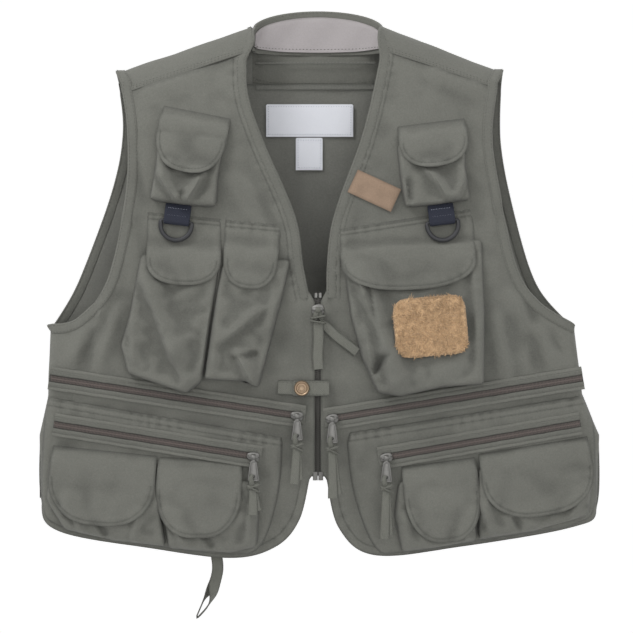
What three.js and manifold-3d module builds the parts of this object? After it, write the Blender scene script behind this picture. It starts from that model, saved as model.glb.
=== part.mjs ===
// A sleeveless fishing vest, hung by the loop at the back of its collar.
// Millimetres, +Z up, the front faces -Y. The wearer's right is -X and the wearer's left is +X.
// Inside the vest group, heights count from the underarm level and depths from the side seams.
import * as THREE from "three";
import { mergeVertices } from "three/addons/utils/BufferGeometryUtils.js";
import Module from "manifold-3d";

const wasm = await Module();
wasm.setup();

// ---- Driving dimensions ----
const CLOTH = 3; // thickness of a lined body panel
const GAP = 0.4; // clearance between neighbouring pieces
const GRID = 26; // spacing of the points that a curved panel is built on
const FRONT_DEPTH = { chest: 36, waist: 20, hem: 14 }; // body depth ahead of the side seams
const BACK_DEPTH = { chest: 24, hem: 15 };
const CHEST_Z = -60;
const WAIST_Z = -150;
const HEM_Z = -250;
const SHOULDER_ROUNDING = 120; // height over which front and back close up to the shoulder
const EDGE_DEPTH = 4; // half thickness of the body at its folded edges
const RIGHT = { sign: -1, underarm: 284, hip: 299, tip: [-215, 262] };
const LEFT = { sign: 1, underarm: 272, hip: 301, tip: [197, 263] };
const NECK = { x: 62, z: 315 };
const YOKE_BACK_Z = 254;
const BACK_HEM_Z = -158; // the back is cut shorter than the fronts at its centre
const COLLAR = { rx: 67, ry: 26, top: 320, bottom: 287, thick: 3, frontEnd: -14 };
const LOOP = { width: 32, tape: 6, thick: 1.6, top: 326, bottom: 300 };
const FRONT_EDGE_X = 9; // half width of the front zip between the two fronts
const FLAP_THICK = 2;
const POUCH_WALL = 1.8;
const SLIDER = { long: 13, across: 9, thick: 3, bridge: 4.2, bar: 1.2 };
const PULL = { eye: 3, hole: 1.8, eyeWide: 5, wide: 9.5, long: 25, thick: 1.6 };
const TAPE = { high: 16, thick: 1.4 };

// ---- Colours ----
const SAGE = new THREE.Color(0.19, 0.195, 0.165);
const DARK_SAGE = new THREE.Color(0.115, 0.12, 0.1);
const LINING = new THREE.Color(0.42, 0.38, 0.35);
const LABEL = new THREE.Color(0.68, 0.7, 0.74);
const COIL = new THREE.Color(0.12, 0.09, 0.08);
const METAL = new THREE.Color(0.3, 0.3, 0.28);
const NAVY = new THREE.Color(0.018, 0.024, 0.05);
const BLACK = new THREE.Color(0.02, 0.021, 0.025);
const FLEECE = new THREE.Color(0.55, 0.36, 0.16);
const SUEDE = new THREE.Color(0.37, 0.22, 0.13);
const BRASS = new THREE.Color(0.38, 0.23, 0.14);

const vest = new THREE.Group();

// ---- Solids ----
const lerp = THREE.MathUtils.lerp;
const clamp = THREE.MathUtils.clamp;

function toSolid(geometry) {
  geometry.deleteAttribute("normal");
  geometry.deleteAttribute("uv");
  const merged = mergeVertices(geometry, 1e-4);
  const vertProperties = merged.attributes.position.array;
  const triVerts = new Uint32Array(merged.index.array);
  return new wasm.Manifold(new wasm.Mesh({ numProp: 3, vertProperties, triVerts }));
}

function toGeometry(solid) {
  const mesh = solid.getMesh();
  const geometry = new THREE.BufferGeometry();
  geometry.setAttribute("position", new THREE.BufferAttribute(mesh.vertProperties, 3));
  geometry.setIndex(new THREE.BufferAttribute(mesh.triVerts, 1));
  return geometry;
}

function addNode(name, solid, color, roughness = 0.9, metalness = 0) {
  const geometry = toGeometry(solid);
  geometry.computeVertexNormals();
  const material = new THREE.MeshStandardMaterial({ color, roughness, metalness });
  const mesh = new THREE.Mesh(geometry, material);
  mesh.name = name;
  vest.add(mesh);
  return mesh;
}

// An outline in the X-Z plane, pushed through from yFront to yBack.
function prism(points, yFront, yBack) {
  const geometry = new THREE.ExtrudeGeometry(new THREE.Shape(points), { depth: yBack - yFront, bevelEnabled: false });
  geometry.rotateX(Math.PI / 2);
  geometry.translate(0, yBack, 0);
  return toSolid(geometry);
}

function box(width, depth, height, x, y, z) {
  return toSolid(new THREE.BoxGeometry(width, depth, height).translate(x, y, z));
}

// A block between two curved surfaces, given as y over (x, z).
function slab([x0, x1], [z0, z1], frontY, backY, step = GRID) {
  const nx = Math.max(1, Math.round((x1 - x0) / step));
  const nz = Math.max(1, Math.round((z1 - z0) / step));
  const geometry = new THREE.BoxGeometry(x1 - x0, 1, z1 - z0, nx, 1, nz);
  geometry.translate((x0 + x1) / 2, 0, (z0 + z1) / 2);
  const p = geometry.attributes.position;
  for (let i = 0; i < p.count; i += 1) {
    const surface = p.getY(i) < 0 ? frontY : backY;
    p.setY(i, surface(p.getX(i), p.getZ(i)));
  }
  return toSolid(geometry);
}

// The part of a curved block that lies inside an outline.
function sheet(points, frontY, backY, step = GRID) {
  const bounds = new THREE.Box2().setFromPoints(points);
  const spanX = [bounds.min.x - 1, bounds.max.x + 1];
  const spanZ = [bounds.min.y - 1, bounds.max.y + 1];
  return slab(spanX, spanZ, frontY, backY, step).intersect(prism(points, -200, 200));
}

// ---- Outlines ----
const point = ([x, z]) => new THREE.Vector2(x, z);
const polygon = (list) => list.map(point);

// A smooth run through a few points, without its last one.
function smooth(list, divisions = 3) {
  const run = new THREE.SplineCurve(list.map(point)).getPoints((list.length - 1) * divisions);
  return run.slice(0, -1);
}

// Turns an outline about the origin and moves it to (x, z).
function placed(points, x, z, tilt) {
  const origin = new THREE.Vector2();
  const offset = new THREE.Vector2(x, z);
  return points.map((p) => p.clone().rotateAround(origin, tilt).add(offset));
}

// Straight top edge at z = 0, sides that flare a little, and a rounded lower edge.
function flapOutline(width, drop, round = 0.62, flare = 0.03) {
  const half = width / 2;
  const belly = half * (1 + flare);
  const points = [new THREE.Vector2(half, 0), new THREE.Vector2(-half, 0)];
  const steps = 12;
  for (let i = 0; i <= steps; i += 1) {
    const angle = Math.PI + (Math.PI * i) / steps;
    const x = belly * Math.sign(Math.cos(angle)) * Math.abs(Math.cos(angle)) ** 0.8;
    const z = -drop * (1 - round) + drop * round * Math.sin(angle);
    points.push(new THREE.Vector2(x, z));
  }
  return points;
}

function circle(radius, steps, cx = 0, cz = 0) {
  const points = [];
  for (let i = 0; i < steps; i += 1) {
    const angle = (2 * Math.PI * i) / steps;
    points.push(new THREE.Vector2(cx + radius * Math.cos(angle), cz + radius * Math.sin(angle)));
  }
  return points;
}

// ---- The body's form ----
const sideOf = (x) => (x < 0 ? RIGHT : LEFT);

function shoulderZ(x) {
  const { tip } = sideOf(x);
  const slope = (NECK.z - tip[1]) / (Math.abs(tip[0]) - NECK.x);
  return NECK.z - slope * Math.max(0, Math.abs(x) - NECK.x);
}

function roundness(x, z) {
  const side = sideOf(x);
  const low = THREE.MathUtils.smoothstep(-z, -20, 120);
  const u = clamp(Math.abs(x) / lerp(side.underarm, side.hip, low), 0, 1);
  const t = clamp(1 + (z - shoulderZ(x)) / SHOULDER_ROUNDING, 0, 1);
  return (1 - u ** 8) ** (1 / 8) * Math.sqrt(1 - t * t);
}

function frontLine(z) {
  if (z > CHEST_Z) return FRONT_DEPTH.chest;
  if (z > WAIST_Z) return lerp(FRONT_DEPTH.chest, FRONT_DEPTH.waist, (CHEST_Z - z) / (CHEST_Z - WAIST_Z));
  return lerp(FRONT_DEPTH.waist, FRONT_DEPTH.hem, (WAIST_Z - z) / (WAIST_Z - HEM_Z));
}

function backLine(z) {
  return lerp(BACK_DEPTH.chest, BACK_DEPTH.hem, clamp(-z / -HEM_Z, 0, 1));
}

const frontDepth = (x, z) => Math.max(EDGE_DEPTH, frontLine(z) * roundness(x, z));
const backDepth = (x, z) => Math.max(EDGE_DEPTH, backLine(z) * roundness(x, z));

// Outer and inner faces of the fronts and the back.
const frontOuter = (x, z) => -frontDepth(x, z) - CLOTH;
const frontInner = (x, z) => -frontDepth(x, z);
const backOuter = (x, z) => backDepth(x, z) + CLOTH;
const backInner = (x, z) => backDepth(x, z);

// ---- Body panels ----
const BACK_ARMHOLE = {
  right: [[-215, 262], [-210, 205], [-222, 140], [-258, 42], [-284, -4]],
  left: [[271, -4], [236, 38], [213, 110], [197, 190], [197, 263]],
};
const FRONT_ARMHOLE = {
  right: [[-213, 262], [-201, 235], [-202, 130], [-221, 42], [-254, 2], [-284, -4]],
  left: [[271, -4], [232, 20], [207, 60], [192, 150], [184, 235], [195, 263]],
};
const SIDE_SEAM = {
  right: [[-284, -4], [-287, -80], [-297, -122]],
  left: [[271, -4], [281, -80], [300, -122]],
};
const HEM = {
  right: [
    [-297, -122], [-296, -190], [-276, -223], [-180, -241], [-92, -252], [-45, -240], [-20, -212], [-9, -168],
  ],
  left: [[9, -168], [22, -220], [60, -249], [150, -240], [270, -219], [298, -198], [300, -122]],
};
const FRONT_EDGE = {
  right: [[-9, 24], [-16, 60], [-24, 110], [-58, 190], [-74, 240], [-75, 288]],
  left: [[67, 290], [60, 250], [45, 190], [18, 115], [10, 70], [9, 24]],
};

// The outer form of the body less its hollow, which is open at the hem and at the armholes.
function bodyShell() {
  const silhouette = [
    ...smooth(BACK_ARMHOLE.right),
    ...polygon(SIDE_SEAM.right.slice(0, -1)),
    ...smooth(HEM.right),
    point(HEM.right.at(-1)),
    ...smooth(HEM.left),
    ...polygon(SIDE_SEAM.left.toReversed().slice(0, -1)),
    ...smooth(BACK_ARMHOLE.left),
    ...polygon([LEFT.tip, [NECK.x, NECK.z], [-NECK.x, NECK.z]]),
  ];
  const outer = sheet(silhouette, frontOuter, backOuter);
  const far = 400;
  const underarm = -2;
  const insideRight = SIDE_SEAM.right.map(([x, z]) => [x + CLOTH, z]);
  const insideLeft = SIDE_SEAM.left.map(([x, z]) => [x - CLOTH, z]);
  const hollow = polygon([
    [insideRight.at(-1)[0], -far],
    ...insideRight.toReversed(),
    [insideRight[0][0], underarm], [-far, underarm], [-far, shoulderZ(-far) - CLOTH],
    [-NECK.x, NECK.z - CLOTH], [NECK.x, NECK.z - CLOTH],
    [far, shoulderZ(far) - CLOTH], [far, underarm], [insideLeft[0][0], underarm],
    ...insideLeft,
    [insideLeft.at(-1)[0], -far],
  ]);
  return outer.subtract(sheet(hollow, frontInner, backInner));
}

function frontOutline(side) {
  const farX = 320;
  const farZ = -270;
  if (side === RIGHT) {
    return [
      ...smooth(FRONT_ARMHOLE.right),
      ...polygon([[-farX, -10], [-farX, farZ], [-FRONT_EDGE_X, farZ]]),
      ...smooth(FRONT_EDGE.right),
      ...polygon([[-75, 288]]),
    ];
  }
  return [
    ...smooth(FRONT_EDGE.left),
    ...polygon([[FRONT_EDGE_X, 24], [FRONT_EDGE_X, farZ], [farX, farZ], [farX, -10]]),
    ...smooth(FRONT_ARMHOLE.left),
    ...polygon([[75, 285]]),
  ];
}

// Everything under a front yoke seam, which falls from the neck to the armhole.
function underFrontSeam(side) {
  const s = side.sign;
  return prism(polygon([[s * 60, 288], [s * 260, 221], [s * 330, -300], [0, -300], [0, 288]]), -120, -0.2);
}

function addPanels() {
  const shell = bodyShell();
  for (const [side, name] of [[RIGHT, "right"], [LEFT, "left"]]) {
    const front = shell.intersect(prism(frontOutline(side), -120, -0.2));
    addNode(`${name}_front`, front.intersect(underFrontSeam(side)), SAGE);
  }
  const backBelowYoke = [
    ...smooth([[-320, -205], [-200, -200], [0, BACK_HEM_Z], [200, -200], [320, -205]]),
    ...polygon([[320, -205], [320, YOKE_BACK_Z], [-320, YOKE_BACK_Z]]),
  ];
  addNode("back_panel", shell.intersect(prism(backBelowYoke, 0.2, 120)), SAGE);
  const aboveFrontSeams = polygon([
    [-330, 198.5], [-75, 284], [-60, 288.5], [-60, 400], [60, 400], [60, 288.5], [75, 284], [330, 198.5],
    [330, 420], [-330, 420],
  ]);
  const yokeFront = prism(aboveFrontSeams, -120, 0.1);
  const yokeLow = YOKE_BACK_Z + GAP;
  const yokeBack = prism(polygon([[-330, yokeLow], [330, yokeLow], [330, 400], [-330, 400]]), 0, 120);
  const hole = neckRing(COLLAR.rx + CLOTH + GAP, COLLAR.ry + CLOTH + GAP, COLLAR.bottom - 1, 400);
  addNode("yoke", shell.intersect(yokeFront.add(yokeBack)).subtract(hole), SAGE);
}

// ---- Collar ----
function neckRing(rx, ry, z0, z1) {
  const geometry = new THREE.CylinderGeometry(1, 1, z1 - z0, 28);
  geometry.rotateX(Math.PI / 2);
  geometry.scale(rx, ry, 1);
  geometry.translate(0, 0, (z0 + z1) / 2);
  return toSolid(geometry);
}

function addCollar() {
  const { rx, ry, top, bottom, thick, frontEnd } = COLLAR;
  const keep = box(200, 100, 100, 0, frontEnd + 50, (top + bottom) / 2);
  const outer = neckRing(rx + thick, ry + thick, bottom, top);
  const hollow = neckRing(rx, ry, bottom - 5, top + 5);
  addNode("collar", outer.subtract(hollow).intersect(keep), SAGE);
  const liningOuter = neckRing(rx - GAP, ry - GAP, bottom + 2, top - 4);
  const liningHollow = neckRing(rx - GAP - 1.4, ry - GAP - 1.4, bottom - 5, top + 5);
  addNode("collar_lining", liningOuter.subtract(liningHollow).intersect(keep), LINING);
  const loopY = ry + thick + GAP;
  const half = LOOP.width / 2;
  const arch = polygon([
    [-half, LOOP.bottom], [-half, LOOP.top - 3], [-half + 4, LOOP.top], [half - 4, LOOP.top],
    [half, LOOP.top - 3], [half, LOOP.bottom], [half - LOOP.thick - 2, LOOP.bottom],
    [half - LOOP.thick - 2, LOOP.top - 4], [half - 5, LOOP.top - LOOP.thick],
    [-half + 5, LOOP.top - LOOP.thick], [-half + LOOP.thick + 2, LOOP.top - 4],
    [-half + LOOP.thick + 2, LOOP.bottom],
  ]);
  addNode("hanger_loop", prism(arch.reverse(), loopY + 0.4, loopY + 0.4 + LOOP.tape), DARK_SAGE);
}

// ---- Labels and trim ----
function addLabel() {
  const outline = polygon([
    [-56, 233], [-56, 198], [-24, 198], [-24, 160], [5, 160], [5, 198], [38, 198], [38, 233],
  ]);
  const face = (x, z) => backInner(x, z) - GAP - 0.9;
  const rear = (x, z) => backInner(x, z) - GAP;
  addNode("neck_label", sheet(outline, face, rear, 20), LABEL, 0.7);
}

function addTag() {
  const outline = placed(polygon([[-25, -13], [25, -13], [25, 13], [-25, 13]]), 59, 136, -0.43);
  const face = (x, z) => frontOuter(x, z) - GAP - 1.8;
  const rear = (x, z) => frontOuter(x, z) - GAP;
  addNode("leather_tag", sheet(outline, face, rear, 20), SUEDE);
}

// ---- Pouches and flaps ----
// A pouch is a front wall with sides and a bottom, open at its top and sewn to the panel behind.
function pouchSolid(outline, backing, depthAt, openTop) {
  const rear = (x, z) => backing(x, z) - GAP;
  const face = (x, z) => backing(x, z) - GAP - depthAt(x, z);
  const hollowFace = (x, z) => face(x, z) + POUCH_WALL;
  const beyond = (x, z) => backing(x, z) + 6;
  const centre = new THREE.Box2().setFromPoints(outline).getCenter(new THREE.Vector2());
  const size = new THREE.Box2().setFromPoints(outline).getSize(new THREE.Vector2());
  const shrinkX = 1 - (2 * POUCH_WALL) / size.x;
  const shrinkZ = 1 - (2 * POUCH_WALL) / size.y;
  const inside = outline.map((p) => new THREE.Vector2(
    centre.x + (p.x - centre.x) * shrinkX,
    centre.y + (p.y - centre.y) * shrinkZ,
  ));
  const whole = sheet(outline, face, rear, GRID);
  const hollow = sheet(inside, hollowFace, beyond, GRID);
  const mouth = sheet(openTop, hollowFace, beyond, GRID);
  return whole.subtract(hollow).subtract(mouth);
}

// Outline of a pouch from its corners, with its lower edge rounded off.
function pouchOutline([topLeft, topRight, lowRight, lowLeft], corner = 12) {
  const along = (a, b, distance) => {
    const from = point(a);
    return from.add(point(b).sub(from).setLength(distance));
  };
  const rightRound = new THREE.QuadraticBezierCurve(
    along(lowRight, topRight, corner), point(lowRight), along(lowRight, lowLeft, corner));
  const leftRound = new THREE.QuadraticBezierCurve(
    along(lowLeft, lowRight, corner), point(lowLeft), along(lowLeft, topLeft, corner));
  return [point(topRight), point(topLeft), ...leftRound.getPoints(4).reverse(),
    ...rightRound.getPoints(4).reverse()];
}

// The mouth: a strip along the top edge between the side walls, running up past it.
function mouthOutline([topLeft, topRight, lowRight, lowLeft]) {
  const inward = POUCH_WALL + 0.6;
  const down = (top, low) => point(top).lerp(point(low), 0.25);
  const a = down(topLeft, lowLeft);
  const b = down(topRight, lowRight);
  a.x += inward;
  b.x -= inward;
  const left = new THREE.Vector2(topLeft[0] + inward, topLeft[1] + 12);
  const right = new THREE.Vector2(topRight[0] - inward, topRight[1] + 12);
  return [right, left, a, b];
}

// Each pocket: pouch corners (top left, top right, low right, low left), its depth at the mouth and
// at the bottom, and the flap: hinge centre, width, drop below the hinge and slope of the hinge.
const CHEST_POCKETS = [
  {
    name: "right_fly", corners: [[-166, 196], [-98, 184], [-106, 123], [-175, 126]],
    depth: [7, 12], flap: { x: -128, z: 214, width: 72, drop: 60, slope: -0.2 }, backing: frontOuter,
  },
  {
    name: "left_fly", corners: [[82, 186], [154, 194], [158, 127], [90, 123]],
    depth: [7, 12], flap: { x: 119, z: 204, width: 71, drop: 43, slope: 0.13 }, backing: frontOuter,
  },
  {
    name: "right_chest_outer", corners: [[-184, 66], [-104, 58], [-123, -62], [-203, -48]],
    depth: [7, 15], flap: { x: -140, z: 79, width: 76, drop: 42, slope: -0.05 }, backing: frontOuter,
  },
  {
    name: "right_chest_inner", corners: [[-101, 58], [-32, 54], [-56, -70], [-120, -64]],
    depth: [7, 15], flap: { x: -69, z: 80, width: 55, drop: 47, slope: -0.09 }, backing: frontOuter,
  },
  {
    name: "left_chest", corners: [[24, 62], [172, 66], [174, -62], [60, -78]],
    depth: [8, 19], flap: { x: 94, z: 78, width: 137, drop: 46, slope: 0.04 }, backing: frontOuter,
  },
];

const CARGO_THICK = 3; // the zipped lower compartments, lying flat
const cargoOuter = (x, z) => frontOuter(x, z) - 2 * GAP - CARGO_THICK;

const CARGO_POUCHES = [
  {
    name: "right_outer", corners: [[-278, -152], [-174, -164], [-160, -232], [-266, -216]],
    depth: [7, 9], flap: { x: -226, z: -142, width: 106, drop: 72, slope: -0.1 }, backing: cargoOuter,
  },
  {
    name: "right_inner", corners: [[-166, -166], [-82, -172], [-80, -240], [-152, -234]],
    depth: [7, 9], flap: { x: -124, z: -151, width: 84, drop: 76, slope: -0.06 }, backing: cargoOuter,
  },
  {
    name: "left_inner", corners: [[90, -172], [164, -160], [166, -232], [92, -241]],
    depth: [7, 9], flap: { x: 127, z: -154, width: 74, drop: 78, slope: 0.13 }, backing: cargoOuter,
  },
  {
    name: "left_outer", corners: [[170, -158], [280, -142], [282, -206], [172, -228]],
    depth: [7, 9], flap: { x: 225, z: -136, width: 110, drop: 68, slope: 0.16 }, backing: cargoOuter,
  },
];

function addPocket(pocket) {
  const { name, corners, depth, flap, backing } = pocket;
  const top = Math.max(corners[0][1], corners[1][1]);
  const low = Math.min(corners[2][1], corners[3][1]);
  const depthAt = (x, z) => lerp(depth[0], depth[1], clamp((top - z) / (top - low), -0.25, 1));
  const outline = pouchOutline(corners);
  addNode(`${name}_pouch`, pouchSolid(outline, backing, depthAt, mouthOutline(corners)), SAGE);
  const rear = (x, z) => backing(x, z) - GAP - depthAt(x, z) - 0.8;
  const face = (x, z) => rear(x, z) - FLAP_THICK;
  const shape = placed(flapOutline(flap.width, flap.drop), flap.x, flap.z, flap.slope);
  addNode(`${name}_flap`, sheet(shape, face, rear, GRID), SAGE);
}

// ---- Lower cargo compartments ----
function addCargo() {
  const outlines = {
    right: [
      ...polygon([[-38, -123], [-284, -79]]),
      ...smooth([[-290, -100], [-293, -190], [-272, -218], [-180, -238], [-92, -247], [-62, -238]]),
      ...smooth([[-62, -238], [-42, -185], [-36, -130]]),
    ],
    left: [
      ...polygon([[282, -77], [33, -118]]),
      ...smooth([[29, -130], [38, -185], [62, -240]]),
      ...smooth([[62, -240], [90, -246], [200, -229], [272, -215], [294, -192], [292, -100]]),
    ],
  };
  for (const name of ["right", "left"]) {
    const rear = (x, z) => frontOuter(x, z) - 3 * GAP;
    addNode(`${name}_cargo`, sheet(outlines[name], cargoOuter, rear), SAGE);
  }
}

// ---- Zips ----
// A frame with X along the zip, Z across it and Y out of the cloth.
function zipFrame(from, to, backing) {
  const start = new THREE.Vector3(from[0], backing(...from), from[1]);
  const end = new THREE.Vector3(to[0], backing(...to), to[1]);
  const along = end.clone().sub(start).normalize();
  const up = new THREE.Vector3(0, 0, 1);
  const inward = new THREE.Vector3().crossVectors(up, along).normalize();
  if (inward.y < 0) inward.negate();
  const across = new THREE.Vector3().crossVectors(along, inward).normalize();
  if (across.z < 0) across.negate();
  return { start, end, along, inward, across, length: start.distanceTo(end) };
}

// The most that the cloth stands out ahead of the straight line of a zip.
function bulge(frame, backing) {
  let most = 0;
  for (let i = 0; i <= 20; i += 1) {
    for (const side of [-0.5, 0, 0.5]) {
      const p = frame.start.clone().lerp(frame.end, i / 20).addScaledVector(frame.across, side * TAPE.high);
      most = Math.max(most, p.y - backing(p.x, p.z));
    }
  }
  return most;
}

const CENTRE_SLIDER_Z = 11;
const ZIPS = [
  { name: "right_upper", from: [-22, -100], to: [-270, -62], backing: frontOuter, webbing: 46 },
  { name: "left_upper", from: [15, -103], to: [266, -62], backing: frontOuter, webbing: 58 },
  { name: "right_cargo", from: [-68, -143], to: [-266, -111], backing: cargoOuter, webbing: 36 },
  { name: "left_cargo", from: [72, -144], to: [264, -110], backing: cargoOuter, webbing: 60 },
];

// A slider: a plate with a lengthwise bridge that the pull hangs from. X along the zip, -Y outwards.
function sliderSolid(long, across) {
  const { thick, bridge, bar } = SLIDER;
  const plate = box(long, thick, across, 0, -thick / 2, 0);
  const postX = long / 2 - 1.4;
  const barY = -thick - bridge;
  const post = (x) => box(2, bridge + bar, 2 * bar, x, -thick - (bridge + bar) / 2 + 0.2, 0);
  const rod = box(2 * postX, 2 * bar * 0.7, 2 * bar * 0.7, 0, barY, 0);
  return plate.add(post(-postX)).add(post(postX)).add(rod);
}

// The eye of a pull or a webbing loop, round a slider's bridge.
function eyeSolid() {
  const { eye, hole, eyeWide } = PULL;
  const ring = new THREE.Shape(circle(eye, 12));
  ring.holes = [new THREE.Path(circle(hole, 12))];
  const geometry = new THREE.ExtrudeGeometry(ring, { depth: eyeWide, bevelEnabled: false });
  geometry.rotateY(Math.PI / 2);
  geometry.translate(-eyeWide / 2, 0, 0);
  return toSolid(geometry);
}

// A pull: an eye and a plate that hangs from it.
function pullSolid() {
  const { eye, eyeWide, wide, long, thick } = PULL;
  const neck = box(eyeWide, thick, 3, 0, 0, -eye - 1);
  const plate = box(wide, thick, long - eye - 2, 0, 0, -(long + eye + 2) / 2);
  return eyeSolid().add(neck).add(plate);
}

function addZip(zip) {
  const frame = zipFrame(zip.from, zip.to, zip.backing);
  const stand = bulge(frame, zip.backing) + GAP;
  const place = new THREE.Matrix4().makeBasis(frame.along, frame.inward, frame.across);
  const turn = new THREE.Quaternion().setFromRotationMatrix(place);
  if (place.determinant() < 0) {
    place.makeBasis(frame.along.clone().negate(), frame.inward, frame.across);
    turn.setFromRotationMatrix(place);
  }
  const middle = frame.start.clone().lerp(frame.end, 0.5).addScaledVector(frame.inward, -stand);
  const tape = box(frame.length + 12, TAPE.thick, TAPE.high, 0, -TAPE.thick / 2, 0);
  const tapeMesh = addNode(`${zip.name}_zip_tape`, tape, COIL);
  tapeMesh.position.copy(middle);
  tapeMesh.quaternion.copy(turn);
  const seat = frame.start.clone().addScaledVector(frame.inward, -stand - TAPE.thick - GAP);
  const slider = addNode(`${zip.name}_slider`, sliderSolid(SLIDER.long, SLIDER.across), METAL, 0.4, 0.9);
  slider.position.copy(seat);
  slider.quaternion.copy(turn);
  const pin = seat.clone().addScaledVector(frame.inward, -SLIDER.thick - SLIDER.bridge);
  const pull = addNode(`${zip.name}_pull`, pullSolid(), METAL, 0.4, 0.9);
  pull.position.copy(pin);
  const strap = box(12, 1.6, zip.webbing, pin.x, pin.y, pin.z - PULL.long - GAP - zip.webbing / 2);
  addNode(`${zip.name}_webbing`, strap, SAGE);
}

function addFrontZip() {
  const stopZ = 26;
  const low = -166;
  const halfGap = 0.2;
  for (const [side, name] of [[RIGHT, "right"], [LEFT, "left"]]) {
    const s = side.sign;
    const outline = polygon([
      [s * halfGap, stopZ], [s * halfGap, low], [s * (FRONT_EDGE_X - GAP), low],
      [s * (FRONT_EDGE_X - GAP), stopZ],
    ]);
    if (s < 0) outline.reverse();
    const face = (x, z) => frontOuter(x, z) + 0.6;
    const rear = (x, z) => frontOuter(x, z) + 0.6 + TAPE.thick;
    addNode(`${name}_front_zip_tape`, sheet(outline.reverse(), face, rear), COIL);
  }
  const seatY = frontOuter(0, CENTRE_SLIDER_Z) + 0.6 - GAP;
  const slider = addNode("front_slider", sliderSolid(SLIDER.long, SLIDER.long), METAL, 0.4, 0.9);
  slider.position.set(0, seatY, CENTRE_SLIDER_Z);
  const neck = box(PULL.eyeWide, 1.6, 4, 0, 0, -PULL.eye - 1);
  const head = box(15, 4, 9, 0, 0, -PULL.eye - 6);
  const tail = box(12, 1.6, 50, 0, 0, -PULL.eye - 35);
  const webbing = addNode("front_webbing", eyeSolid().add(neck).add(head).add(tail), SAGE);
  webbing.position.set(0, seatY - SLIDER.thick - SLIDER.bridge, CENTRE_SLIDER_Z);
}

// ---- Snap tab over the front zip ----
function addSnap() {
  const z = -71;
  const rearY = frontOuter(0, z) - GAP - 2.4;
  const tab = box(38, 2, 17, -7, rearY - 1, z);
  addNode("snap_tab", tab, SAGE);
  const disc = (radius, thick, y) => prism(circle(radius, 16, -17, z), y - thick, y);
  addNode("snap_cap", disc(7.5, 2.6, rearY - 2 - GAP), BRASS, 0.35, 0.9);
  addNode("snap_stud", disc(5, 1.6, rearY + 2), BRASS, 0.35, 0.9);
}

// ---- D-rings ----
const RINGS = [
  { name: "right_ring", x: -148, tilt: -0.12 },
  { name: "left_ring", x: 130, tilt: 0.12 },
];
const RING = {
  barZ: 104, tabTop: 120, tabWide: 27, outer: 18.5, thin: 4.6, bar: 3.4, thick: 3.2, tunnel: 5.6,
};

function addRing({ name, x, tilt }) {
  const rearY = frontOuter(x, RING.tabTop) - GAP;
  const barY = rearY - 5;
  const tabHigh = RING.tabTop - RING.barZ + 5;
  const tab = box(RING.tabWide, 8, tabHigh, 0, 0, RING.tabTop - RING.barZ - tabHigh / 2);
  const tunnel = box(60, RING.tunnel, RING.tunnel, 0, 0, 0);
  const tabMesh = addNode(`${name}_tab`, tab.subtract(tunnel), NAVY);
  tabMesh.position.set(x, barY, RING.barZ);
  tabMesh.rotation.y = -tilt;
  const half = RING.outer;
  const rim = (r, top) => {
    const points = [new THREE.Vector2(r, top), new THREE.Vector2(-r, top)];
    for (let i = 0; i <= 14; i += 1) {
      const angle = Math.PI + (Math.PI * i) / 14;
      points.push(new THREE.Vector2(r * Math.cos(angle), -4 + (r - 0.5) * Math.sin(angle)));
    }
    return points;
  };
  const outer = prism(rim(half, RING.bar / 2), -RING.thick / 2, RING.thick / 2);
  const inner = prism(rim(half - RING.thin, -RING.bar / 2), -10, 10);
  const ring = addNode(name, outer.subtract(inner), BLACK, 0.35);
  ring.position.set(x, barY, RING.barZ);
  ring.rotation.y = -tilt;
}

// ---- Fleece patch and rod loop ----
function addPatch() {
  const corner = 16;
  const w = 38;
  const h = 31;
  const points = [];
  for (const [cx, cz, start] of [[w, h, 0], [-w, h, 1], [-w, -h, 2], [w, -h, 3]]) {
    const x = cx - Math.sign(cx) * corner;
    const z = cz - Math.sign(cz) * corner;
    for (let i = 0; i <= 3; i += 1) {
      const angle = ((start + i / 3) * Math.PI) / 2;
      points.push(new THREE.Vector2(x + corner * Math.cos(angle), z + corner * Math.sin(angle)));
    }
  }
  const outline = placed(points, 117, -6, 0.09);
  const pocket = CHEST_POCKETS[4];
  const rear = frontOuter(117, 0) - GAP - pocket.depth[1] - 0.6;
  addNode("fleece_patch", prism(outline, rear - 5, rear), FLEECE, 1);
}

function addRodLoop() {
  const centre = new THREE.SplineCurve([[-109, -253], [-108, -272], [-117, -296], [-128, -318]].map(point));
  const offset = (distance, u0, u1, steps) => {
    const run = [];
    for (let i = 0; i <= steps; i += 1) {
      const u = lerp(u0, u1, i / steps);
      const at = centre.getPoint(u);
      const along = centre.getTangent(u);
      run.push(new THREE.Vector2(at.x - along.y * distance, at.y + along.x * distance));
    }
    return run;
  };
  const outline = [...offset(7, 0, 1, 6), ...offset(-7, 0, 1, 6).reverse()];
  const slot = [...offset(4, 0.25, 0.92, 5), ...offset(-4, 0.25, 0.92, 5).reverse()];
  const band = prism(outline, -6, 6);
  addNode("rod_loop", band.subtract(prism(slot, -20, 20)), SAGE);
}

addPanels();
addCollar();
addLabel();
addTag();
CHEST_POCKETS.forEach(addPocket);
addCargo();
CARGO_POUCHES.forEach(addPocket);
ZIPS.forEach(addZip);
addFrontZip();
addSnap();
RINGS.forEach(addRing);
addPatch();
addRodLoop();

// The origin is the point of the hanger loop that rests on a hook.
const hookDepth = COLLAR.ry + COLLAR.thick + GAP + 0.4 + LOOP.tape / 2;
const HOOK = new THREE.Vector3(0, hookDepth, LOOP.top - LOOP.thick);
vest.position.copy(HOOK).negate();
const fishingVest = new THREE.Group();
fishingVest.add(vest);

export default fishingVest;
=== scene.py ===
"""A sleeveless fishing vest hung by its loop: cloth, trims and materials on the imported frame."""
import math

import bpy
import numpy as np
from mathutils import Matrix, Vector, noise
from mathutils.geometry import delaunay_2d_cdt


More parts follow.
